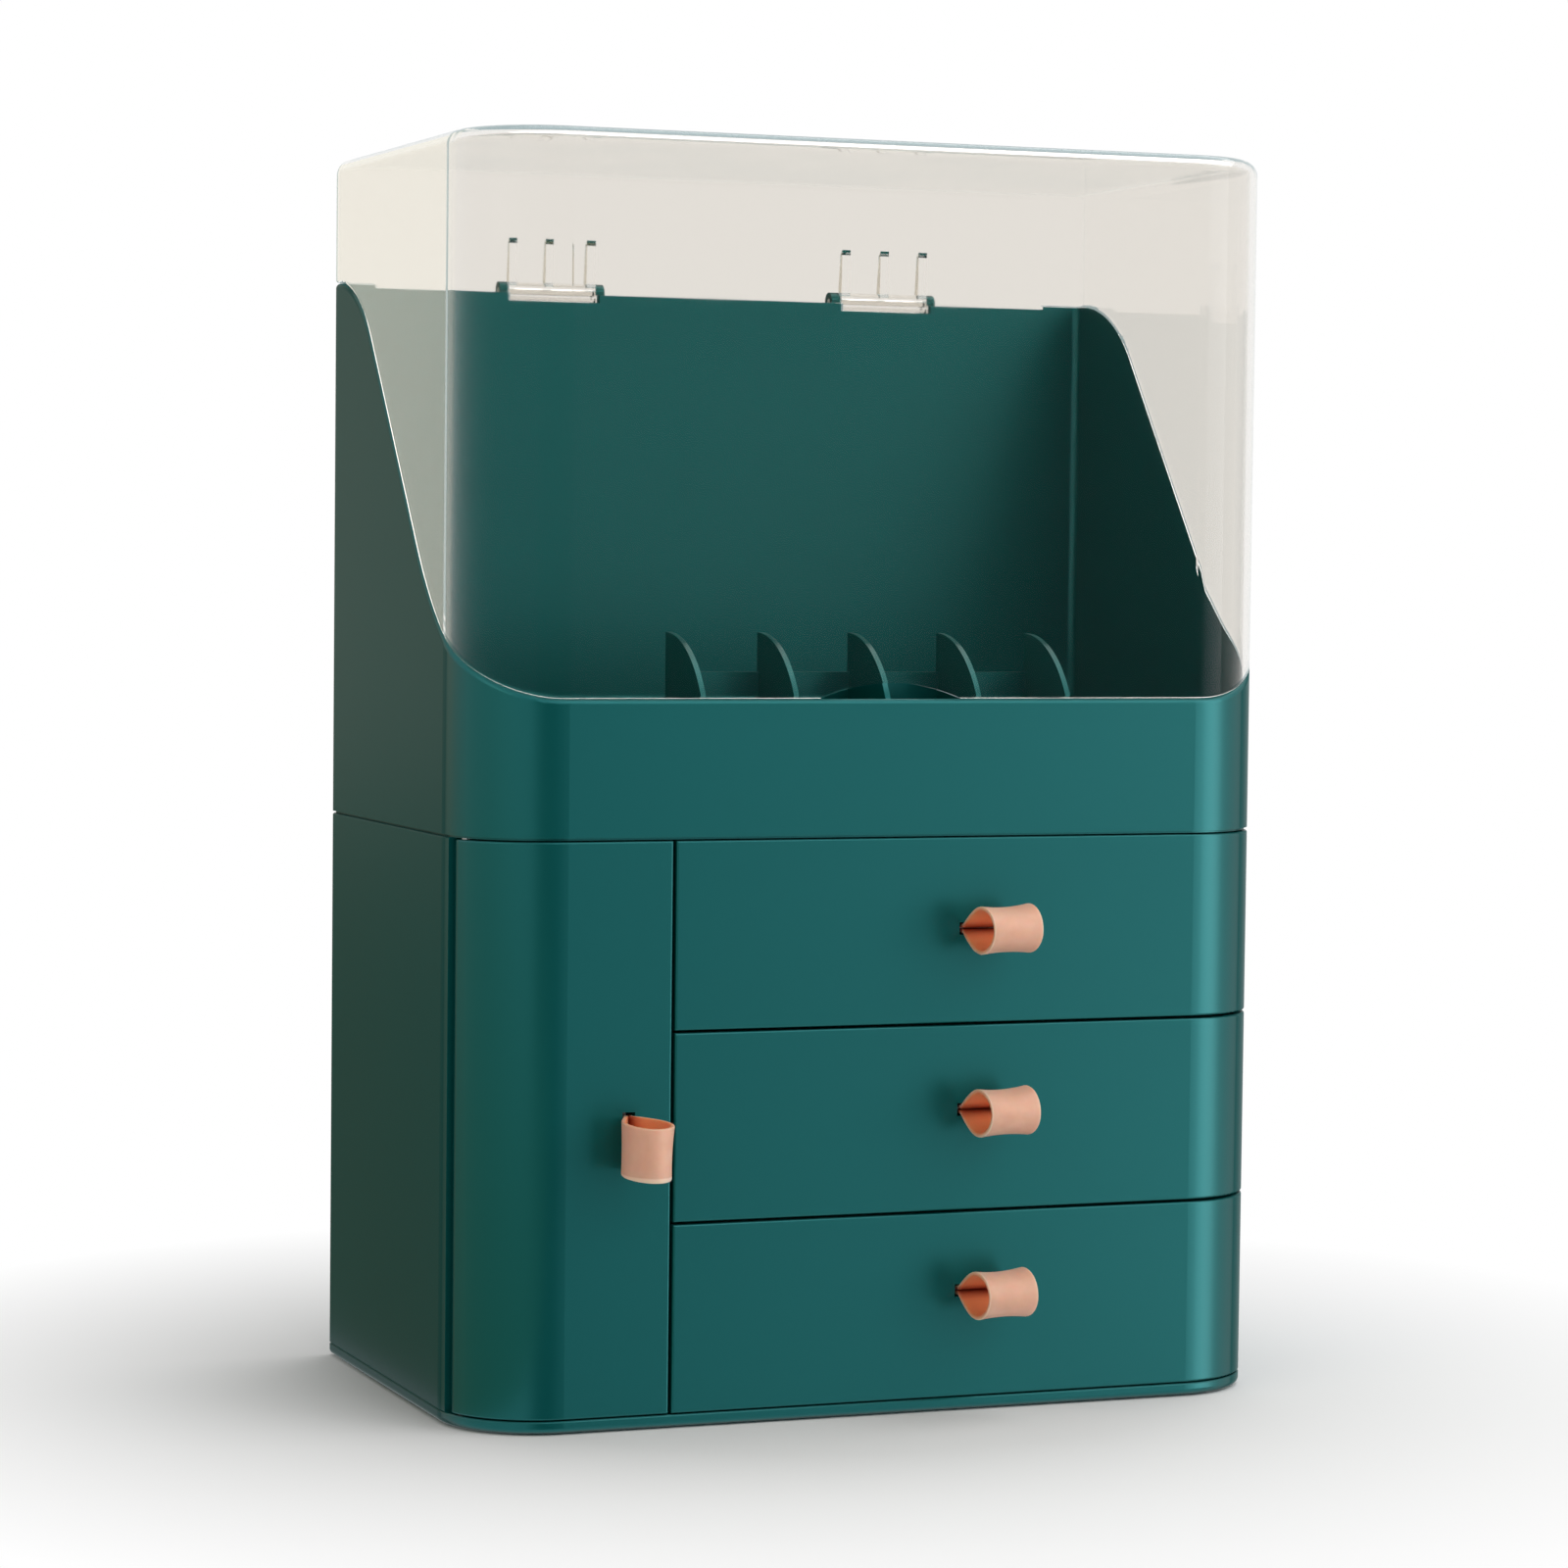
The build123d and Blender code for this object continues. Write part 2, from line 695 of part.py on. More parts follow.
with BuildPart() as door_panel:
    with BuildSketch(Plane.XY.offset(door_bottom)):
        add(plan_outline(0))
        add(plan_outline(door_depth), mode=Mode.SUBTRACT)
        add(door_sector(door_axis_angle, door_edge_x), mode=Mode.INTERSECT)
    extrude(amount=door_height)
    rims = door_panel.faces().filter_by(Axis.Z).edges().filter_by(on_outer_face)
    corner = door_panel.edges().filter_by(Axis.Z).sort_by_distance(
        (door_edge_x, front_y, door_bottom + door_height / 2)
    )[0]
    fillet(rims + [corner], edge_round)
    with BuildPart(mode=Mode.PRIVATE) as barrel:
        with BuildSketch(Plane.XY.offset(door_bottom)):
            with Locations((door_axis_x, door_axis_y)):
                Circle(door_barrel_radius)
        extrude(amount=door_height)
        fillet(barrel.edges().filter_by(GeomType.CIRCLE), edge_round)
    add(barrel.part)
    with BuildSketch(Plane.XY.offset(door_bottom + door_rim)):
        add(plan_outline(door_skin))
        add(plan_outline(door_depth + wall), mode=Mode.SUBTRACT)
        add(door_sector(pocket_angle, door_edge_x - door_rim), mode=Mode.INTERSECT)
    extrude(amount=door_height - 2 * door_rim, mode=Mode.SUBTRACT)
    with Locations((holder_x, front_y + door_skin, magnet_height)):
        Box(
            2 * strike_half,
            strike_boss_depth,
            magnet_length + 2 * strike_margin,
            align=(Align.CENTER, Align.MIN, Align.CENTER),
        )
    with Locations((door_pull_x, front_y, door_pull_height)):
        Box(
            2 * strap_thickness + slot_clearance,
            2 * door_skin,
            strap_width + slot_clearance,
            mode=Mode.SUBTRACT,
        )
    for z, way in ((door_bottom, 1), (door_bottom + door_height, -1)):
        with BuildSketch(Plane.XY.offset(z)):
            with Locations((door_axis_x, door_axis_y)):
                Circle(door_pin_radius + door_pin_play)
        extrude(amount=way * (door_pin_reach + front_gap), mode=Mode.SUBTRACT)
door_panel.part.label = "door_panel"
export_step(door_panel.part, "parts/door_panel.step")

# Steel strike plate for the magnet
with BuildPart() as door_strike:
    with Locations((holder_x, front_y + door_skin + strike_boss_depth, magnet_height)):
        Box(
            2 * strike_half,
            strike_thickness,
            magnet_length + 2 * strike_margin,
            align=(Align.CENTER, Align.MIN, Align.CENTER),
        )
door_strike.part.label = "door_strike"
export_step(door_strike.part, "parts/door_strike.step")

# Door hinge pins, one in the base plate and one in the tray's floor
door_pins = {
    "door_hinge_pin_lower": (base_top - door_pin_seat, 1),
    "door_hinge_pin_upper": (tray_bottom + door_pin_seat, -1),
}
for pin_name, (pin_z, way) in door_pins.items():
    with BuildPart() as door_pin:
        with BuildSketch(Plane.XY.offset(pin_z)):
            with Locations((door_axis_x, door_axis_y)):
                Circle(door_pin_radius)
        extrude(amount=way * (door_pin_seat + front_gap / 2 + door_pin_reach))
    door_pin.part.label = pin_name
    export_step(door_pin.part, f"parts/{pin_name}.step")


# Strap pulls: a strap folded into a loop, its two ends through a slot and held by a clamp
def strap_outline(start, neck, half_height, reach):
    """One face of the folded strap: away from the front, round its belly and back."""
    away = (1, (half_height - neck) / pull_belly)
    for side in (1, -1):
        Spline(
            (start, side * neck),
            (pull_belly, side * half_height),
            (reach, 0),
            tangents=[(away[0], side * away[1]), (0, -side)],
        )
    if neck > 0:
        Line((start, neck), (start, -neck))


def pull_section():
    """Section of the loop: to the right is the way ahead of the front, from its outer face."""
    tongue = drawer_skin + clamp_depth + strap_thickness / 2
    with BuildSketch() as section:
        with BuildLine():
            strap_outline(0, strap_thickness, pull_half_height, pull_reach)
        make_face()
        with BuildLine():
            strap_outline(
                strap_thickness / 4,
                0,
                pull_half_height - strap_thickness,
                pull_reach - strap_thickness,
            )
        make_face(mode=Mode.SUBTRACT)
        with Locations((-tongue, 0)):
            Rectangle(
                tongue + strap_thickness / 2,
                2 * strap_thickness,
                align=(Align.MIN, Align.CENTER),
            )
        with Locations((-drawer_skin - clamp_depth / 2, 0)):
            Circle(pull_pin_radius, mode=Mode.SUBTRACT)
    return section.sketch


def make_pull(plane, owner, place=""):
    """The loop, its clamp and its pin, on a plane whose X points ahead of the front."""
    with BuildPart() as pull:
        with BuildSketch(plane):
            add(pull_section())
        extrude(amount=strap_width / 2, both=True)
    pull.part.label = f"{owner}_pull{place}"
    export_step(pull.part, f"parts/{owner}_pull{place}.step")

    with BuildPart() as clamp:
        with BuildSketch(plane):
            with Locations((-drawer_skin, 0)):
                Rectangle(
                    clamp_depth,
                    2 * clamp_half_height,
                    align=(Align.MAX, Align.CENTER),
                )
        extrude(amount=strap_width / 2 + clamp_end, both=True)
        with BuildSketch(plane):
            with Locations((-drawer_skin, 0)):
                Rectangle(
                    clamp_depth,
                    2 * (strap_thickness + clamp_fit),
                    align=(Align.MAX, Align.CENTER),
                )
        extrude(amount=strap_width / 2 + clamp_fit, both=True, mode=Mode.SUBTRACT)
        with BuildSketch(plane):
            with Locations((-drawer_skin - clamp_depth / 2, 0)):
                Circle(pull_pin_radius)
        extrude(amount=strap_width, both=True, mode=Mode.SUBTRACT)
    clamp.part.label = f"{owner}_pull_clamp{place}"
    export_step(clamp.part, f"parts/{owner}_pull_clamp{place}.step")

    with BuildPart() as pin:
        with BuildSketch(plane):
            with Locations((-drawer_skin - clamp_depth / 2, 0)):
                Circle(pull_pin_radius)
        extrude(amount=strap_width / 2 + clamp_end, both=True)
    pin.part.label = f"{owner}_pull_pin{place}"
    export_step(pin.part, f"parts/{owner}_pull_pin{place}.step")


door_pull_plane = Plane(
    origin=(door_pull_x, front_y, door_pull_height), x_dir=(0, -1, 0), z_dir=(0, 0, 1)
)
make_pull(door_pull_plane, "door")

# Drawers
box_front_y = front_y + drawer_front_depth
box_left_x = partition_right_x + box_side_gap
box_right_x = side_x - wall - box_side_gap - front_gap / 2
box_height = drawer_pitch - floor_thickness - box_floor_gap - box_top_gap
drawer_screw_spots = [drawer_mid_x - drawer_screw_spread, drawer_mid_x + drawer_screw_spread]


def box_plan(inset):
    """Plan of a drawer box, moved inwards by inset."""
    with BuildSketch() as plan:
        with Locations(((box_left_x + box_right_x) / 2, (box_front_y + box_back_y) / 2)):
            Rectangle(
                box_right_x - box_left_x - 2 * inset, box_back_y - box_front_y - 2 * inset
            )
        front_right = plan.vertices().sort_by_distance((box_right_x, box_front_y))[0]
        fillet(front_right, box_corner_radius - inset)
        rear = plan.vertices().group_by(Axis.Y)[-1]
        fillet(rear, box_back_radius - inset)
    return plan.sketch


for name, level, rise in zip(drawer_names, drawer_levels, pull_rises):
    pull_z = level + drawer_pitch / 2 + rise
    front_bottom = level + front_gap / 2
    front_height = drawer_pitch - front_gap
    screw_z = level + drawer_pitch / 2

    with BuildPart() as drawer_front:
        with BuildSketch(Plane.XY.offset(front_bottom)):
            add(plan_outline(0))
            with BuildSketch(mode=Mode.PRIVATE) as room:
                add(plan_outline(drawer_skin))
                with Locations((0, box_front_y)):
                    Rectangle(cut, cut, align=(Align.CENTER, Align.MAX), mode=Mode.SUBTRACT)
            add(room.sketch, mode=Mode.SUBTRACT)
            with Locations((0, seam_y)):
                Rectangle(2 * cut, cut, align=(Align.CENTER, Align.MIN), mode=Mode.SUBTRACT)
            with Locations((drawer_left_x, 0)):
                Rectangle(cut, cut, align=(Align.MAX, Align.CENTER), mode=Mode.SUBTRACT)
        extrude(amount=front_height)
        fillet(drawer_front.edges().filter_by(on_outer_face), edge_round)
        with BuildSketch(Plane.XY.offset(front_bottom + drawer_rim)):
            add(plan_outline(drawer_skin))
            with Locations((0, box_front_y)):
                Rectangle(2 * cut, cut, align=(Align.CENTER, Align.MIN), mode=Mode.SUBTRACT)
            with Locations((drawer_left_x + drawer_rim, 0)):
                Rectangle(cut, cut, align=(Align.MAX, Align.CENTER), mode=Mode.SUBTRACT)
        extrude(amount=front_height - 2 * drawer_rim, mode=Mode.SUBTRACT)
        with BuildSketch(Plane.XZ.offset(-box_front_y)):
            with Locations(*[(x, screw_z) for x in drawer_screw_spots]):
                Circle(drawer_boss_radius)
        extrude(amount=drawer_front_depth - drawer_skin)
        with BuildSketch(Plane.XZ.offset(-box_front_y)):
            with Locations(*[(x, screw_z) for x in drawer_screw_spots]):
                Circle(drawer_screw_radius)
        extrude(amount=drawer_screw_bite + front_gap, mode=Mode.SUBTRACT)
        with Locations((drawer_mid_x, front_y, pull_z)):
            Box(
                strap_width + slot_clearance,
                2 * drawer_skin,
                2 * strap_thickness + slot_clearance,
                mode=Mode.SUBTRACT,
            )
    drawer_front.part.label = f"drawer_front_{name}"
    export_step(drawer_front.part, f"parts/drawer_front_{name}.step")

    with BuildPart() as drawer_box:
        box_bottom = level + floor_thickness + box_floor_gap
        with BuildSketch(Plane.XY.offset(box_bottom)):
            add(box_plan(0))
        extrude(amount=box_height)
        with BuildSketch(Plane.XY.offset(box_bottom + box_floor)):
            add(box_plan(box_wall))
        extrude(amount=box_height, mode=Mode.SUBTRACT)
        for side in (-1, 1):
            with Locations((drawer_mid_x + side * stop_spread, box_back_y, box_bottom + box_height)):
                Box(
                    stop_lip_width,
                    box_wall,
                    stop_tab_rise,
                    align=(Align.CENTER, Align.MAX, Align.MIN),
                )
        with BuildSketch(Plane.XZ.offset(-box_front_y)):
            with Locations(*[(x, screw_z) for x in drawer_screw_spots]):
                Circle(drawer_screw_radius)
        extrude(amount=-box_wall, mode=Mode.SUBTRACT)
    drawer_box.part.label = f"drawer_box_{name}"
    export_step(drawer_box.part, f"parts/drawer_box_{name}.step")

    with BuildPart() as drawer_screws:
        with BuildSketch(Plane.XZ.offset(-box_front_y - box_wall)):
            with Locations(*[(x, screw_z) for x in drawer_screw_spots]):
                Circle(drawer_screw_radius)
        extrude(amount=box_wall + drawer_screw_bite)
        with BuildSketch(Plane.XZ.offset(-box_front_y - box_wall)):
            with Locations(*[(x, screw_z) for x in drawer_screw_spots]):
                Circle(drawer_screw_head)
        extrude(amount=-drawer_screw_head_height)
        with BuildSketch(Plane.XZ.offset(-box_front_y - box_wall - drawer_screw_head_height)):
            with Locations(*[(x, screw_z) for x in drawer_screw_spots]):
                Rectangle(2 * drawer_screw_radius, recess_width)
                Rectangle(recess_width, 2 * drawer_screw_radius)
        extrude(amount=recess_depth, mode=Mode.SUBTRACT)
    drawer_screws.part.label = f"drawer_screws_{name}"
    export_step(drawer_screws.part, f"parts/drawer_screws_{name}.step")

    pull_plane = Plane(
        origin=(drawer_mid_x, front_y, pull_z), x_dir=(0, -1, 0), z_dir=(1, 0, 0)
    )
    make_pull(pull_plane, "drawer", f"_{name}")
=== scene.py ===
# %% [markdown]
# # A makeup organizer with drawers
#
# The object is a green plastic cabinet with a curved door, three drawers on strap pulls, a tray
# with a sloping rim on top, and a clear hood hinged to the tray's back wall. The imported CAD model
# already holds every rigid piece at its real size, so this lesson loads it as a fixed frame, makes
# the finishes, and models the soft pieces that plain solids can't show.
#
# All lengths are in metres. X runs to the right, Y to the back and Z up.

import json
from math import cos, pi, radians, sin

import bpy
from mathutils import Matrix, Vector


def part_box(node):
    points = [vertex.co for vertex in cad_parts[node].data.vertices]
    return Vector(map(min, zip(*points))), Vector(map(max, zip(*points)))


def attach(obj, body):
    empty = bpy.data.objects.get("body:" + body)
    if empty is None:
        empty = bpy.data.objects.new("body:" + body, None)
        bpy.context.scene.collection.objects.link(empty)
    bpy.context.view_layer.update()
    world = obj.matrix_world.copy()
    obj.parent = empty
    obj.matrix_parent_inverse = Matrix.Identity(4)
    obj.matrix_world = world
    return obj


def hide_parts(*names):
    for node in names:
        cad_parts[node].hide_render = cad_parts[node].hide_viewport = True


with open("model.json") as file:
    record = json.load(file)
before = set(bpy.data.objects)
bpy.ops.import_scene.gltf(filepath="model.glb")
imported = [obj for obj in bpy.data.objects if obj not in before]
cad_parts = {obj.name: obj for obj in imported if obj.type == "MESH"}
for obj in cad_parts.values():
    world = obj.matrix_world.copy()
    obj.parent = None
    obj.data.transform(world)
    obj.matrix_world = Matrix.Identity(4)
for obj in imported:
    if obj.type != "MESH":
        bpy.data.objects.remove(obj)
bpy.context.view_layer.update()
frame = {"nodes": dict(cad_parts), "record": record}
nodes = frame["nodes"]
mm = 0.001
bpy.ops.object.select_all(action="DESELECT")

# %% [markdown]
# ## The camera
#
# A picture of a box can be matched in two ways: by nudging the camera until the edges agree, or by
# measuring edges and solving for the camera. The second was done here, once, and its result is
# four plain facts: where the camera stands, where it points, how it leans and how long its lens
# is. The camera stands to the left of the front, a little above the middle, and far away, so that
# upright edges stay nearly parallel.

# %% Camera
image_width_px = 1600
focal_length_px = 4641.7
camera_place = Vector((-0.5176, -1.3238, 0.2578))
camera_turn = radians(21.187)
camera_tilt = radians(-2.913)
camera_roll = radians(0.643)

ahead = Vector(
    (sin(camera_turn) * cos(camera_tilt), cos(camera_turn) * cos(camera_tilt), sin(camera_tilt))
)
level_right = Vector((cos(camera_turn), -sin(camera_turn), 0))
level_up = level_right.cross(ahead)
right = cos(camera_roll) * level_right + sin(camera_roll) * level_up
up = cos(camera_roll) * level_up - sin(camera_roll) * level_right

camera_data = bpy.data.cameras.new("camera")
camera_data.sensor_width = 36
camera_data.lens = focal_length_px / image_width_px * camera_data.sensor_width
camera = bpy.data.objects.new("camera", camera_data)
bpy.context.scene.collection.objects.link(camera)
axes = Matrix((right, up, -ahead)).transposed().to_4x4()
camera.matrix_world = Matrix.Translation(camera_place) @ axes
bpy.context.scene.camera = camera
print("lens", round(camera_data.lens, 1), "mm")

# %% [markdown]
# ## Shared effects as node groups
#
# Several finishes need the same small things: the fine grain that a mould leaves, the worn edge
# that is also lightened as a painted highlight, and a little dust on faces that look up. Each is
# built once as a node
# group with named inputs and outputs, and placed in a material with that material's own values.
# A group only gives masks and heights. The shader itself stays in the material.

# %% Nodes and links
def add_node(tree, kind, **sockets):
    """A node of that kind, with its inputs set by name."""
    node = tree.nodes.new(kind)
    for name, value in sockets.items():
        node.inputs[name.replace("_", " ")].default_value = value
    return node


def link(tree, source, target):
    """A link from one socket to another."""
    tree.links.new(source, target)


def math_node(tree, operation, first, second=None, clamp=False):
    """A Math node whose inputs are sockets or numbers. It gives its output socket."""
    node = tree.nodes.new("ShaderNodeMath")
    node.operation = operation
    node.use_clamp = clamp
    for socket, value in zip(node.inputs, (first, second)):
        if value is None:
            continue
        if isinstance(value, (int, float)):
            socket.default_value = value
        else:
            link(tree, value, socket)
    return node.outputs[0]


def map_range(tree, value, low, high, out_low=0.0, out_high=1.0):
    """A Map Range node, clamped. It gives its output socket."""
    node = add_node(
        tree, "ShaderNodeMapRange", From_Min=low, From_Max=high, To_Min=out_low, To_Max=out_high
    )
    link(tree, value, node.inputs["Value"])
    return node.outputs["Result"]


print("ready to link nodes")

# %% An empty group, and the noise that fills it
def new_group(name, inputs, outputs):
    """An empty node group with float inputs of given defaults and float outputs."""
    tree = bpy.data.node_groups.new(name, "ShaderNodeTree")
    for socket_name, value in inputs.items():
        socket = tree.interface.new_socket(
            socket_name, in_out="INPUT", socket_type="NodeSocketFloat"
        )
        socket.default_value = value
    for socket_name in outputs:
        tree.interface.new_socket(socket_name, in_out="OUTPUT", socket_type="NodeSocketFloat")
    start = tree.nodes.new("NodeGroupInput")
    end = tree.nodes.new("NodeGroupOutput")
    return tree, start, end


def noise(tree, vector, scale, detail=2.0, roughness=0.5):
    """A Noise Texture read on a vector socket. It gives its factor's socket."""
    node = add_node(tree, "ShaderNodeTexNoise", Detail=detail, Roughness=roughness)
    link(tree, vector, node.inputs["Vector"])
    if isinstance(scale, (int, float)):
        node.inputs["Scale"].default_value = scale
    else:
        link(tree, scale, node.inputs["Scale"])
    return node.outputs["Fac"]


def stretched(tree, scale):
    """Object coordinates, stretched by a Mapping node."""
    place = tree.nodes.new("ShaderNodeTexCoord")
    mapping = tree.nodes.new("ShaderNodeMapping")
    mapping.inputs["Scale"].default_value = scale
    link(tree, place.outputs["Object"], mapping.inputs["Vector"])
    return mapping.outputs["Vector"]


print("ready to build groups")

# %% [markdown]
# ## Grain, worn edges with a painted highlight, and dust
#
# A mould leaves three marks of very different size: a grain under half a millimetre, faint upright
# flow lines, and a broad change of tone that only shows when one corner is compared with another.
# Noise at three scales gives them. Wear could be painted by hand, but a mask that compares the
# surface's normal with a rounded one finds every edge of every piece by itself. The lighter edges
# it gives are partly wear and partly a painted highlight. Dust lies only where the normal points
# up, in patches.

# %% Mould grain: a fine texture, long faint flow lines and broad cloudy tone
def make_mould_grain():
    tree, start, end = new_group("mould_grain", {"Grains per Metre": 2600.0}, ["Height", "Tone"])
    place = tree.nodes.new("ShaderNodeTexCoord").outputs["Object"]
    fine = noise(tree, place, start.outputs["Grains per Metre"], detail=1.0)
    flow = noise(tree, stretched(tree, (1, 1, 0.06)), 420, detail=3.0, roughness=0.6)
    cloud = noise(tree, place, 9, detail=0.0)
    flow_in_height = 0.01
    flow_in_tone = 0.05
    faint_flow = math_node(tree, "MULTIPLY", flow, flow_in_height)
    height = math_node(tree, "ADD", fine, faint_flow)
    flow_tone = math_node(tree, "MULTIPLY", flow, flow_in_tone)
    cloud_tone = math_node(tree, "MULTIPLY", cloud, 1 - flow_in_tone)
    tone = math_node(tree, "ADD", flow_tone, cloud_tone)
    link(tree, height, end.inputs["Height"])
    link(tree, tone, end.inputs["Tone"])
    return tree


mould_grain = make_mould_grain()
print("built", mould_grain.name)

# %% Edge wear and painted highlight: where the surface's normal would turn if its edges were rounded
def make_edge_wear_and_highlight():
    tree, start, end = new_group("edge_wear_and_highlight", {"Radius": 0.0006, "Strength": 1.0}, ["Mask"])
    bevel = tree.nodes.new("ShaderNodeBevel")
    bevel.samples = 4
    link(tree, start.outputs["Radius"], bevel.inputs["Radius"])
    geometry = tree.nodes.new("ShaderNodeNewGeometry")
    dot = tree.nodes.new("ShaderNodeVectorMath")
    dot.operation = "DOT_PRODUCT"
    link(tree, bevel.outputs["Normal"], dot.inputs[0])
    link(tree, geometry.outputs["Normal"], dot.inputs[1])
    still_flat, fully_turned = 0.995, 0.85
    edge = map_range(tree, dot.outputs["Value"], still_flat, fully_turned)
    place = tree.nodes.new("ShaderNodeTexCoord").outputs["Object"]
    patchy = map_range(tree, noise(tree, place, 160, detail=3.0), 0.3, 0.65, 0.35, 1.0)
    # Edges are lightened partly as wear and partly as a painted highlight.
    worn_and_highlit = math_node(tree, "MULTIPLY", edge, patchy)
    mask = math_node(tree, "MULTIPLY", worn_and_highlit, start.outputs["Strength"], clamp=True)
    link(tree, mask, end.inputs["Mask"])
    return tree


edge_wear_and_highlight = make_edge_wear_and_highlight()
print("built", edge_wear_and_highlight.name)

# %% Dust: a thin patchy veil on faces that look up
def make_dust():
    tree, start, end = new_group("dust", {"Amount": 0.1}, ["Mask"])
    geometry = tree.nodes.new("ShaderNodeNewGeometry")
    split = tree.nodes.new("ShaderNodeSeparateXYZ")
    link(tree, geometry.outputs["Normal"], split.inputs["Vector"])
    too_steep, level = 0.6, 0.98
    facing_up = map_range(tree, split.outputs["Z"], too_steep, level)
    place = tree.nodes.new("ShaderNodeTexCoord").outputs["Object"]
    patchy = map_range(tree, noise(tree, place, 90, detail=4.0, roughness=0.65), 0.35, 0.7)
    veil = math_node(tree, "MULTIPLY", facing_up, patchy)
    mask = math_node(tree, "MULTIPLY", veil, start.outputs["Amount"], clamp=True)
    link(tree, mask, end.inputs["Mask"])
    return tree


dust = make_dust()
print("built", dust.name)

# %% [markdown]
# ## The green plastic
#
# The body is moulded in one satin teal green. A single colour would look like paint on a drawing,
# so the colour drifts a little from place to place, edges are a touch lighter, partly where hands
# and cloths have rubbed them and partly as a painted highlight, and the gloss is broken by a very
# fine grain. Real glancing gloss on such dark satin plastic is weak, because the grain shadows
# itself, so the mirror strength falls where the surface is seen on edge.

# %% What every finish starts from
def show(tree, surface):
    """Make that surface the one that the material shows."""
    link(tree, surface, tree.nodes["output"].inputs["Surface"])


def new_material(name):
    """A material whose tree holds only a Principled BSDF and an output."""
    material = bpy.data.materials.new(name)
    material.use_nodes = True
    tree = material.node_tree
    tree.nodes.clear()
    shader = tree.nodes.new("ShaderNodeBsdfPrincipled")
    tree.nodes.new("ShaderNodeOutputMaterial").name = "output"
    show(tree, shader.outputs["BSDF"])
    return material, tree, shader


def use_group(tree, group, **values):
    """A group placed in a material, with its inputs set by name."""
    node = tree.nodes.new("ShaderNodeGroup")
    node.node_tree = group
    for name, value in values.items():
        node.inputs[name.replace("_", " ")].default_value = value
    return node


def mix_colours(tree, factor, first, second):
    """A Mix node for colours. Factor is a socket; each colour is a socket or a value."""
    node = tree.nodes.new("ShaderNodeMix")
    node.data_type = "RGBA"
    link(tree, factor, node.inputs["Factor"])
    for socket, value in ((node.inputs[6], first), (node.inputs[7], second)):
        if isinstance(value, tuple):
            socket.default_value = (*value, 1.0)
        else:
            link(tree, value, socket)
    return node.outputs[2]


def bump(tree, height, distance, shader):
    """A Bump node on the shader's normal."""
    node = add_node(tree, "ShaderNodeBump", Strength=1.0, Distance=distance)
    link(tree, height, node.inputs["Height"])
    link(tree, node.outputs["Normal"], shader.inputs["Normal"])


print("ready to make finishes")

# %% Green plastic
def make_green_plastic(name, deep, light, edge_tint, roughness):
    material, tree, shader = new_material(name)
    grain = use_group(tree, mould_grain)
    wear_and_highlight = use_group(tree, edge_wear_and_highlight, Strength=0.45)
    veil = use_group(tree, dust, Amount=0.035)
    colour = mix_colours(tree, grain.outputs["Tone"], deep, light)
    # Lighter edges: partly wear, partly a painted highlight along the rounded edges.
    colour = mix_colours(tree, wear_and_highlight.outputs["Mask"], colour, edge_tint)
    dust_grey = (0.5, 0.5, 0.48)
    colour = mix_colours(tree, veil.outputs["Mask"], colour, dust_grey)
    link(tree, colour, shader.inputs["Base Color"])
    drift = 0.02
    satin = map_range(tree, grain.outputs["Tone"], 0, 1, roughness - drift, roughness + drift)
    link(tree, satin, shader.inputs["Roughness"])
    grain_height = 0.009 * mm
    bump(tree, grain.outputs["Height"], grain_height, shader)
    gloss_seen_flat, gloss_on_edge, gloss_in_export = 0.8, 0.016, 0.3
    turning_away_from, turned_away = 0.3, 0.62
    facing = add_node(tree, "ShaderNodeLayerWeight", Blend=0.5).outputs["Facing"]
    gloss = map_range(
        tree, facing, turning_away_from, turned_away, gloss_seen_flat, gloss_on_edge
    )
    shader.inputs["Specular IOR Level"].default_value = gloss_in_export
    link(tree, gloss, shader.inputs["Specular IOR Level"])
    shader.inputs["Specular Tint"].default_value = (0.22, 0.95, 1.0, 1)
    return material


green_plastic = make_green_plastic(
    "green_plastic",
    deep=(0.0006, 0.061, 0.0597),
    light=(0.0008, 0.0682, 0.0667),
    edge_tint=(0.015, 0.15, 0.14),
    roughness=0.3,
)
print("made", green_plastic.name)

# %% [markdown]
# ## The clear hood
#
# Clear plastic bends the light at both faces of its wall, so the wall's real thickness gives the
# lines along its edges. Lamps are let straight through, because light that finds its way through
# glass by chance is slow and grainy to compute. Light that is trapped inside the wall goes round
# more often than a render follows it, and would end in black, so its last steps give a pale glow
# instead, as the edges of real clear plastic do.

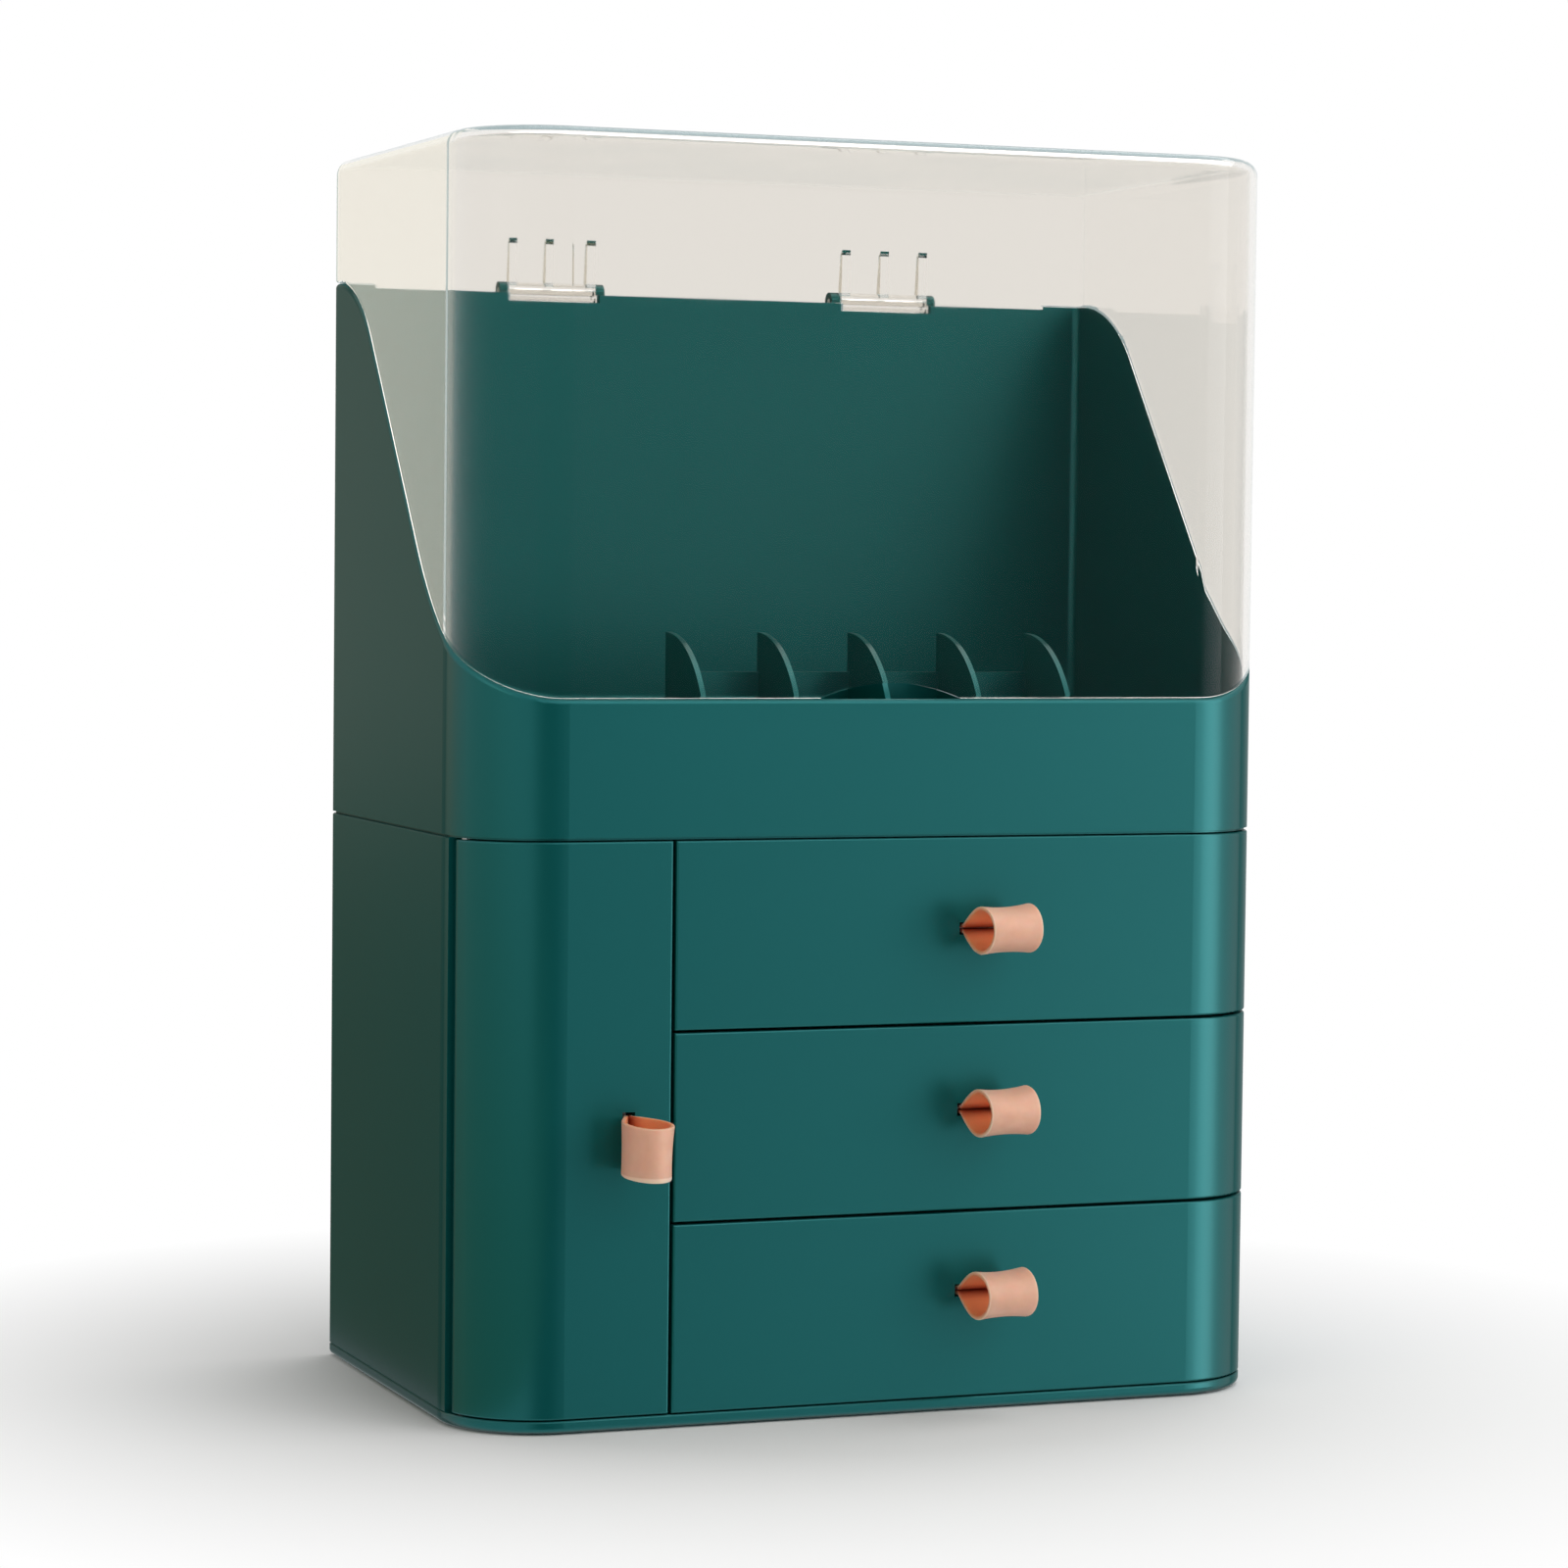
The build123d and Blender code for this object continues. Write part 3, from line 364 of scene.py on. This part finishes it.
# %% Clear plastic
def make_clear_plastic():
    material, tree, shader = new_material("clear_plastic")
    shader.inputs["Base Color"].default_value = (0.876, 0.856, 0.824, 1)
    shader.inputs["Transmission Weight"].default_value = 1.0
    shader.inputs["IOR"].default_value = 1.49
    place = tree.nodes.new("ShaderNodeTexCoord").outputs["Object"]
    clearest, haziest = 0.015, 0.05
    cloud = noise(tree, place, 30, detail=4.0)
    haze = map_range(tree, cloud, 0.35, 0.75, clearest, haziest)
    link(tree, haze, shader.inputs["Roughness"])
    shader.inputs["Specular Tint"].default_value = (0.06, 0.07, 0.08, 1)
    path = tree.nodes.new("ShaderNodeLightPath")
    last_bounce = 3.5
    edge_glow = 0.3
    trapped = math_node(tree, "GREATER_THAN", path.outputs["Glossy Depth"], last_bounce)
    glow = math_node(tree, "MULTIPLY", trapped, edge_glow)
    link(tree, glow, shader.inputs["Emission Strength"])
    shader.inputs["Emission Color"].default_value = (0.62, 0.8, 0.84, 1)
    clear = add_node(tree, "ShaderNodeBsdfTransparent", Color=(0.93, 0.92, 0.9, 1))
    mix = tree.nodes.new("ShaderNodeMixShader")
    link(tree, path.outputs["Is Shadow Ray"], mix.inputs["Fac"])
    link(tree, shader.outputs["BSDF"], mix.inputs[1])
    link(tree, clear.outputs["BSDF"], mix.inputs[2])
    show(tree, mix.outputs["Shader"])
    return material


clear_plastic = make_clear_plastic()
print("made", clear_plastic.name)

# %% [markdown]
# ## The straps' finish
#
# The straps are soft peach sheet. Light goes a little way into it, and beyond that a glow is
# painted into the colour: deep orange inside the loop and palest along its thin cut edges. Where
# the two halves meet in the slot, the inside is painted deep red as the shade of the crease. Which
# part of the strap a point belongs to is known while it is folded, so the fold stores it on the
# mesh and the material reads it, which holds better than guessing it from directions.

# %% Peach strap
def read_attribute(tree, name):
    """A number stored on the mesh."""
    node = tree.nodes.new("ShaderNodeAttribute")
    node.attribute_name = name
    return node.outputs["Fac"]


def make_strap():
    """Soft peach strap, with painted glow: pale along its cut edges, deep orange inside the loop,
    and painted shade in the crease.
    """
    material, tree, shader = new_material("peach_strap")
    place = tree.nodes.new("ShaderNodeTexCoord").outputs["Object"]
    wear_and_highlight = use_group(tree, edge_wear_and_highlight, Radius=0.0004, Strength=0.7)
    deeper_peach, lighter_peach = (0.76, 0.42, 0.30), (0.80, 0.455, 0.33)
    painted_edge_glow, rubbed_and_highlit = (0.95, 0.62, 0.48), (0.9, 0.6, 0.46)
    painted_glow_inside, painted_crease_shade = (0.93, 0.33, 0.15), (0.3, 0.035, 0.012)
    tone = map_range(tree, noise(tree, place, 220, detail=3.0), 0.35, 0.65)
    colour = mix_colours(tree, tone, deeper_peach, lighter_peach)
    # The thin cut edges are painted pale: a painted glow of light shining through the sheet.
    rim_from, rim_full = 0.94, 0.99
    rim = map_range(tree, read_attribute(tree, "across"), rim_from, rim_full)
    colour = mix_colours(tree, rim, colour, painted_edge_glow)
    # The inside of the loop is painted a stronger orange: a painted glow of light bounced inside
    # it.
    colour = mix_colours(tree, read_attribute(tree, "inner"), colour, painted_glow_inside)
    # Where the two halves meet, the inside is painted deep red: painted shade of the crease.
    colour = mix_colours(tree, read_attribute(tree, "crease"), colour, painted_crease_shade)
    # Rubbed edges lighter: partly wear, partly a painted highlight.
    colour = mix_colours(tree, wear_and_highlight.outputs["Mask"], colour, rubbed_and_highlit)
    link(tree, colour, shader.inputs["Base Color"])
    pores = noise(tree, place, 2400)
    bump(tree, pores, 0.03 * mm, shader)
    link(tree, map_range(tree, tone, 0, 1, 0.42, 0.5), shader.inputs["Roughness"])
    shader.inputs["Specular IOR Level"].default_value = 0.3
    shader.inputs["Subsurface Weight"].default_value = 0.6
    shader.inputs["Subsurface Radius"].default_value = (1.0, 0.35, 0.2)
    shader.inputs["Subsurface Scale"].default_value = 4 * mm
    return material


peach_strap = make_strap()
print("made", peach_strap.name)

# %% [markdown]
# ## Rubber and steel
#
# The pads under the base are black rubber, and the pins, screws, magnet and its strike are steel.
# Rubber is matt with a pitted skin. Steel is drawn or brushed in one direction, which noise gives
# when it is stretched along that direction.

# %% Rubber and steel
def make_rubber():
    material, tree, shader = new_material("pad_rubber")
    place = tree.nodes.new("ShaderNodeTexCoord").outputs["Object"]
    tone = noise(tree, place, 300, detail=3.0)
    black, dark_grey = (0.02, 0.02, 0.02), (0.045, 0.045, 0.045)
    colour = mix_colours(tree, tone, black, dark_grey)
    link(tree, colour, shader.inputs["Base Color"])
    bump(tree, noise(tree, place, 3000), 0.04 * mm, shader)
    shader.inputs["Roughness"].default_value = 0.8
    return material


def make_steel():
    material, tree, shader = new_material("steel")
    brushed = noise(tree, stretched(tree, (1, 1, 0.05)), 2500)
    dull, bright = (0.5, 0.5, 0.51), (0.68, 0.68, 0.68)
    colour = mix_colours(tree, brushed, dull, bright)
    link(tree, colour, shader.inputs["Base Color"])
    link(tree, map_range(tree, brushed, 0.3, 0.7, 0.25, 0.4), shader.inputs["Roughness"])
    bump(tree, brushed, 0.01 * mm, shader)
    shader.inputs["Metallic"].default_value = 1.0
    return material


finishes = {
    "green_plastic": green_plastic,
    "clear_plastic": clear_plastic,
    "peach_strap": peach_strap,
    "pad_rubber": make_rubber(),
    "steel": make_steel(),
}
print("finishes", sorted(finishes))

# %% [markdown]
# ## Dressing the frame
#
# Each node of the frame says in its record what it is made of. The finish goes into the slots of
# the node's own object, so the shapes stay as the CAD made them.

# %% Give every CAD node its finish
node_slots = {row["node"]: row["material_slot"] for row in frame["record"]["subparts"]}
for name, piece in nodes.items():
    for slot in piece.material_slots:
        slot.material = finishes[node_slots[name]]
print("dressed", len(nodes), "nodes")

# %% [markdown]
# ## The strap pulls
#
# Each pull is a strap folded back on itself, with both ends through one slot in the front. A
# strap is soft: it stands open in a loop, the loop is lower in the middle of its width than at its
# two cut edges, and its two halves come together just before the slot. A section pushed straight
# through can't show that, so the loop is drawn out of a flat strip, one short extrusion after
# another, and its height is then changed from column to column.

# %% The strap's sizes
strap_width = 15.7 * mm
strap_thickness = 1.2 * mm
edge_rounding = 0.3 * mm
loop_reach = 24 * mm
loop_belly = 13.5 * mm
slot_depth = 6 * mm
neck_height = 1.4 * mm
loop_lean = 1.0 * mm
print("strap", round(strap_width / mm, 1), "mm wide,", round(strap_thickness / mm, 1), "thick")

# %% The path round the loop
loop_steps = 9


def loop_path(upper, lower):
    """Points (away from the front, height) round the loop, from the slot back to the slot."""
    upper_half, lower_half = [], []
    for half, side, height in ((upper_half, 1, upper), (lower_half, -1, lower)):
        for i in range(1, loop_steps + 1):
            t = i / loop_steps * pi / 2
            rise = neck_height + (height - neck_height) * sin(t)
            half.append((loop_belly * i / loop_steps, side * rise))
        for i in range(1, loop_steps + 1):
            t = i / loop_steps * pi / 2
            half.append((loop_belly + (loop_reach - loop_belly) * sin(t), side * height * cos(t)))
    lower_half = lower_half[-2::-1]
    points = upper_half + lower_half + [(0, -neck_height), (-slot_depth, -neck_height)]
    return [(away, height + loop_lean * max(away, 0) / loop_reach) for away, height in points]


print("loop of", len(loop_path(7 * mm, 7 * mm)), "steps")

# %% [markdown]
# ## Folding one strap
#
# A strap is cut from sheet and folded over. Here the strip starts as a grid, twelve columns wide,
# that lies in the slot. Its front edge is extruded along the path, round the loop and back. Each
# column then gets its own height, which makes the waist. Thickness comes last, inwards, so that
# the outside keeps its measured size.

# %% Edit tools
def edit_where(mesh, test):
    """Go to edit mode with the vertices selected for which the test holds, and nothing else."""
    bpy.ops.object.mode_set(mode="OBJECT")
    for face in mesh.polygons:
        face.select = False
    for edge in mesh.edges:
        edge.select = False
    for vertex in mesh.vertices:
        vertex.select = test(vertex.co)
    bpy.ops.object.mode_set(mode="EDIT")
    bpy.ops.mesh.select_mode(type="VERT")


def apply_modifier(piece, kind, **settings):
    """Add a modifier, set it and apply it."""
    modifier = piece.modifiers.new(kind.lower(), kind)
    for name, value in settings.items():
        setattr(modifier, name, value)
    bpy.ops.object.modifier_apply(modifier=modifier.name)


def store(mesh, name, values):
    """Store a number at each vertex."""
    layer = mesh.attributes.new(name, "FLOAT", "POINT")
    for i, value in enumerate(values):
        layer.data[i].value = value


print("edit tools ready")

# %% Draw the loop out of a flat strip
columns = 12
near = 0.1 * mm


def flat_strip(name):
    """A strip that lies in the slot, with its front edge selected in edit mode."""
    bpy.ops.object.select_all(action="DESELECT")
    bpy.ops.mesh.primitive_grid_add(
        x_subdivisions=columns, y_subdivisions=1, size=1, location=(0, 0, 0)
    )
    strap = bpy.context.object
    strap.name = name
    bpy.ops.object.mode_set(mode="EDIT")
    bpy.ops.mesh.select_all(action="SELECT")
    bpy.ops.transform.resize(value=(strap_width, slot_depth, 1), center_override=(0, 0, 0))
    bpy.ops.transform.translate(value=(0, slot_depth / 2, neck_height))
    edit_where(strap.data, lambda p: p.y < near)
    return strap


def draw_loop(path):
    """Extrude the selected edge from point to point."""
    last = (0, neck_height)
    for away, height in path:
        step = (0, last[0] - away, height - last[1])
        bpy.ops.mesh.extrude_region_move(TRANSFORM_OT_translate={"value": step})
        last = (away, height)


print("strip of", columns, "columns")

# %% Shape the loop column by column
def shape_columns(mesh, upper, lower):
    """Give each column of the loop its own height, above and below."""
    clear_of_slot = 0.5 * mm
    for column in range(columns + 1):
        across = (column / columns - 0.5) * 2
        place = across * strap_width / 2
        for side, heights in ((1, upper), (-1, lower)):
            left, middle, right = heights
            slope = (right - left) / 2
            waist = (left + right) / 2 - middle
            height = middle + slope * across + waist * across**2
            edit_where(
                mesh,
                lambda p: abs(p.x - place) < near and p.y < -clear_of_slot and p.z * side > 0,
            )
            bpy.ops.transform.resize(value=(1, 1, height / middle), center_override=(0, 0, 0))


def slide_sideways(mesh, path, slide):
    """Let the loop hang to the right, most at its tip."""
    for away in sorted({away for away, height in path if away > 0}):
        edit_where(mesh, lambda p: abs(p.y + away) < near / 2)
        bpy.ops.transform.translate(value=(slide * away / loop_reach, 0, 0))


print("ready to shape")

# %% Give the loop its thickness
def face_outwards(mesh):
    """Turn the faces round if the one at the tip looks back into the loop."""
    tip = min(mesh.polygons, key=lambda face: face.center.y)
    if tip.normal.y > 0:
        bpy.ops.object.mode_set(mode="EDIT")
        bpy.ops.mesh.select_all(action="SELECT")
        bpy.ops.mesh.flip_normals()
        bpy.ops.object.mode_set(mode="OBJECT")


def thicken(strap):
    """Thickness, the three numbers that the finish reads, and rounded edges."""
    mesh = strap.data
    outer_count = len(mesh.vertices)
    apply_modifier(strap, "SOLIDIFY", thickness=strap_thickness, offset=-1)
    store(mesh, "across", [abs(vertex.co.x) * 2 / strap_width for vertex in mesh.vertices])
    inner = [float(i >= outer_count) for i in range(len(mesh.vertices))]
    store(mesh, "inner", inner)
    # The crease number marks where the finish paints the shade of the crease onto the inside.
    crease_end = 4 * mm
    creased = [max(0.0, min(1.0, 1 + vertex.co.y / crease_end)) for vertex in mesh.vertices]
    store(mesh, "crease", [a * b for a, b in zip(inner, creased)])
    apply_modifier(
        strap,
        "BEVEL",
        width=edge_rounding,
        segments=3,
        limit_method="ANGLE",
        angle_limit=radians(50),
    )


print("ready to thicken")

# %% The whole fold
def fold_strap(name, upper, lower, slide=0):
    """A strap loop at the origin, ahead of the front at y = 0. Heights: left, middle, right.

    The slide is how far the loop's tip hangs to the right of its slot.
    """
    path = loop_path(upper[1], lower[1])
    strap = flat_strip(name)
    draw_loop(path)
    shape_columns(strap.data, upper, lower)
    slide_sideways(strap.data, path, slide)
    bpy.ops.object.mode_set(mode="OBJECT")
    face_outwards(strap.data)
    thicken(strap)
    bpy.ops.object.shade_smooth_by_angle(angle=radians(40))
    return strap


print("ready to fold")

# %% [markdown]
# ## Putting a strap in its place
#
# The frame holds a plain solid for each pull, whose box says where the pull belongs. The soft
# strap takes that node's place and moves with the same body. The mesh is moved and not the object,
# because a piece's origin has to stay at the world's origin for the joints to turn it rightly.

# %% Place a strap
def move_mesh(piece, offset):
    """Move a piece's mesh, so that the piece itself stays at the origin."""
    bpy.ops.object.select_all(action="DESELECT")
    piece.select_set(True)
    bpy.context.view_layer.objects.active = piece
    bpy.ops.object.mode_set(mode="EDIT")
    bpy.ops.mesh.select_all(action="SELECT")
    bpy.ops.transform.translate(value=offset)
    bpy.ops.object.mode_set(mode="OBJECT")


def put_in_place(piece, node, body, centre):
    """Let a strap stand for a pull's node and move with its drawer or the door."""
    move_mesh(piece, centre)
    piece.data.materials.clear()
    piece.data.materials.append(finishes["peach_strap"])
    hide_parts(node)
    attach(piece, body)


front_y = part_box("drawer_front_bottom")[0].y


def pull_centre(node):
    """Where a pull comes out of its front: the middle of its box, at the front's face."""
    low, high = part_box(node)
    return Vector(((low.x + high.x) / 2, front_y, (low.z + high.z) / 2))


print("fronts' face at", round(front_y, 4))

# %% [markdown]
# ## The drawers' pulls
#
# The three drawers have the same pull. It is folded once and copied twice, each copy with a mesh
# of its own, so that each can sit in its own place.

# %% Three drawer pulls
drawer_strap = fold_strap(
    "strap_loop_bottom",
    upper=(7.1 * mm, 6.8 * mm, 7.8 * mm),
    lower=(7.4 * mm, 6.6 * mm, 7.0 * mm),
)
straps = {"bottom": drawer_strap}
for place in ("middle", "top"):
    twin = drawer_strap.copy()
    twin.data = drawer_strap.data.copy()
    twin.name = f"strap_loop_{place}"
    bpy.context.scene.collection.objects.link(twin)
    straps[place] = twin
for place, strap in straps.items():
    centre = pull_centre(f"drawer_pull_{place}") + Vector((0.5 * mm, 0, 0))
    put_in_place(strap, f"drawer_pull_{place}", f"drawer_{place}", centre)
    print("strap", place, "at", [round(x, 4) for x in centre])

# %% [markdown]
# ## The door's pull
#
# The door's strap is turned upright, because the door swings sideways. It hangs a little to one
# side and is flatter than the others, so it is folded with heights of its own.

# %% The door's pull, turned upright
strap = fold_strap(
    "strap_loop_door",
    upper=(7.7 * mm, 7.0 * mm, 6.9 * mm),
    lower=(6.4 * mm, 6.2 * mm, 6.4 * mm),
    slide=1.1 * mm,
)
bpy.ops.object.mode_set(mode="EDIT")
bpy.ops.mesh.select_all(action="SELECT")
bpy.ops.transform.rotate(value=-pi / 2, orient_axis="Y", center_override=(0, 0, 0))
bpy.ops.object.mode_set(mode="OBJECT")
centre = pull_centre("door_pull") - Vector((0, 0, 0.5 * mm))
put_in_place(strap, "door_pull", "door", centre)
print("strap on the door at", [round(x, 4) for x in centre])

# %% [markdown]
# ## The floor
#
# The object stands on a plain white ground. A white floor lit to pure white would lose the
# object's shadow, so the floor is pale and matt near the object, where the shadow falls, and turns
# into plain shining white further out. The shine is for the eye only: it lights nothing. Shiny
# surfaces don't mirror the floor either, so that the cards further on can reach below it.

# %% Which rays see a surface
def shown_directly(tree):
    """1 on what the camera meets itself, in a reflection or through the clear hood, else 0."""
    path = tree.nodes.new("ShaderNodeLightPath")
    seen = math_node(tree, "MAXIMUM", path.outputs["Is Camera Ray"], path.outputs["Is Glossy Ray"])
    seen = math_node(tree, "MAXIMUM", seen, path.outputs["Is Transmission Ray"])
    not_scattered = math_node(tree, "LESS_THAN", path.outputs["Diffuse Depth"], 0.5)
    return math_node(tree, "MULTIPLY", seen, not_scattered)


def mirrored(tree):
    """1 on what a shiny surface mirrors, 0 on what is seen through the clear hood."""
    path = tree.nodes.new("ShaderNodeLightPath")
    not_through = math_node(tree, "SUBTRACT", 1.0, path.outputs["Is Transmission Ray"])
    return math_node(tree, "MULTIPLY", path.outputs["Is Glossy Ray"], not_through)


def hide_from(tree, rays, surface):
    """Show that surface, but let the rays pass through it as if it weren't there."""
    nothing = add_node(tree, "ShaderNodeBsdfTransparent", Color=(1, 1, 1, 1))
    mix = tree.nodes.new("ShaderNodeMixShader")
    link(tree, rays, mix.inputs["Fac"])
    link(tree, surface, mix.inputs[1])
    link(tree, nothing.outputs["BSDF"], mix.inputs[2])
    show(tree, mix.outputs["Shader"])


print("ready to sort the rays")

# %% Floor
bpy.ops.object.select_all(action="DESELECT")
bpy.ops.mesh.primitive_plane_add(size=12, location=(0, 0, 0))
floor = bpy.context.object
floor.name = "floor"


def make_floor_finish():
    """Pale and matt near the object, where the shadow falls, and plain white further out."""
    material, tree, shader = new_material("floor_finish")
    shader.inputs["Base Color"].default_value = (0.8, 0.8, 0.8, 1)
    shader.inputs["Roughness"].default_value = 0.9
    shader.inputs["Specular IOR Level"].default_value = 0.0
    place = tree.nodes.new("ShaderNodeTexCoord").outputs["Object"]
    distance = tree.nodes.new("ShaderNodeVectorMath")
    distance.operation = "LENGTH"
    link(tree, place, distance.inputs[0])
    pale_out_to, white_from = 0.13, 0.34
    far = map_range(tree, distance.outputs["Value"], pale_out_to, white_from)
    white = add_node(tree, "ShaderNodeEmission", Color=(1, 1, 1, 1), Strength=1.0)
    mix = tree.nodes.new("ShaderNodeMixShader")
    link(tree, math_node(tree, "MULTIPLY", far, shown_directly(tree)), mix.inputs["Fac"])
    link(tree, shader.outputs["BSDF"], mix.inputs[1])
    link(tree, white.outputs["Emission"], mix.inputs[2])
    hide_from(tree, mirrored(tree), mix.outputs["Shader"])
    return material


floor.data.materials.append(make_floor_finish())
print("floor", floor.data.materials[0].name)

# %% [markdown]
# ## Lamps
#
# Four large soft lamps light the object evenly. One stands to the right and grazes the right front
# corner, a weak and warm one fills the left side, one lights the front, and a very large one hangs
# above. The right one shows in no reflection and not through the hood: it only lights, and a card
# of a better shape takes its place in the gloss.

# %% Lamps
def softbox(name, place, target, size, power, colour=(1, 1, 1)):
    """An area lamp that looks at a target."""
    data = bpy.data.lights.new(name, "AREA")
    data.shape = "RECTANGLE"
    data.size, data.size_y = size
    data.energy = power
    data.color = colour
    lamp = bpy.data.objects.new(name, data)
    bpy.context.scene.collection.objects.link(lamp)
    lamp.location = place
    lamp.rotation_euler = (Vector(target) - Vector(place)).to_track_quat("-Z", "Y").to_euler()
    return lamp


strip = softbox(
    "strip", place=(0.98, -0.88, 0.75), target=(0, 0, 0.3), size=(0.85, 1.5), power=8.5
)
strip.visible_glossy = False
strip.visible_transmission = False
softbox(
    "fill",
    place=(-1.3, -0.7, 0.9),
    target=(0, 0, 0.25),
    size=(1.0, 1.0),
    power=3.0,
    colour=(1.0, 0.95, 0.72),
)
softbox("front", place=(0.35, -1.9, 1.5), target=(0, 0, 0.18), size=(1.4, 1.0), power=8.6)
softbox("top", place=(0.9, 0.3, 2.2), target=(0.3, 0, 0), size=(2.2, 2.2), power=26)
print("lamps", sorted(light.name for light in bpy.data.lights))

# %% [markdown]
# ## Cards for the reflections
#
# A photographer shapes the gloss on a rounded corner with cards: a black one darkens it, a white
# one draws the bright line. The same is done here. A dark card beside the camera gives the dark
# band at the left front corner, a tall bright one gives the upright highlight at the right, and a
# warm mat and wall tint the side. They are seen by mirror reflections and by nothing else, so they
# neither light the object nor show through the hood.

# %% Cards that only reflections show
def reflection_card(name, place, size, turn, colour):
    """A card that nothing but a glossy reflection sees."""
    bpy.ops.object.select_all(action="DESELECT")
    bpy.ops.mesh.primitive_plane_add(size=1, location=place, rotation=turn)
    card = bpy.context.object
    card.name = name
    card.scale = (*size, 1)
    card.visible_camera = False
    card.visible_diffuse = False
    card.visible_transmission = False
    card.visible_shadow = False
    material, tree, shader = new_material(name)
    shader.inputs["Base Color"].default_value = (0.01, 0.01, 0.01, 1)
    shader.inputs["Roughness"].default_value = 1.0
    shader.inputs["Specular IOR Level"].default_value = 0.0
    shader.inputs["Emission Color"].default_value = (*colour, 1)
    shader.inputs["Emission Strength"].default_value = 1.0
    through_hood = tree.nodes.new("ShaderNodeLightPath").outputs["Is Transmission Ray"]
    hide_from(tree, through_hood, shader.outputs["BSDF"])
    card.data.materials.append(material)


flat = (0, 0, 0)
upright = (pi / 2, 0, 0)
towards_corner = (pi / 2, 0, radians(48))
reflection_card(
    "camera_side_card", place=(-0.17, -2.6, 0.5), size=(1.66, 4), turn=upright, colour=(0, 0, 0)
)
reflection_card(
    "strip_card",
    place=(1.08, -0.93, 0.55),
    size=(0.6, 2.1),
    turn=towards_corner,
    colour=(4.3, 4.3, 4.3),
)
reflection_card(
    "warm_wall", place=(-1.64, 3, 1.25), size=(3, 2.5), turn=upright, colour=(1.1, 1.04, 0.82)
)
reflection_card(
    "side_mat", place=(-1.64, 1, 0.001), size=(3, 4), turn=flat, colour=(0.4, 0.38, 0.2)
)

# %% [markdown]
# ## The world
#
# The surroundings do two jobs that must not be mixed up. To the eye, in a reflection and through
# the hood, they are plain white. As a light they are weak and even, so that the lamps decide how
# bright the object is.

# %% World
world = bpy.data.worlds.new("studio")
bpy.context.scene.world = world
world.use_nodes = True
sky = world.node_tree
sky.nodes.clear()
light = add_node(sky, "ShaderNodeBackground", Color=(1, 1, 1, 1), Strength=0.35)
shown = add_node(sky, "ShaderNodeBackground", Color=(1, 1, 1, 1), Strength=1.0)
mix = sky.nodes.new("ShaderNodeMixShader")
link(sky, shown_directly(sky), mix.inputs["Fac"])
link(sky, light.outputs["Background"], mix.inputs[1])
link(sky, shown.outputs["Background"], mix.inputs[2])
output = sky.nodes.new("ShaderNodeOutputWorld")
link(sky, mix.outputs["Shader"], output.inputs["Surface"])

bpy.context.scene.view_settings.view_transform = "Standard"
print("world", world.name)
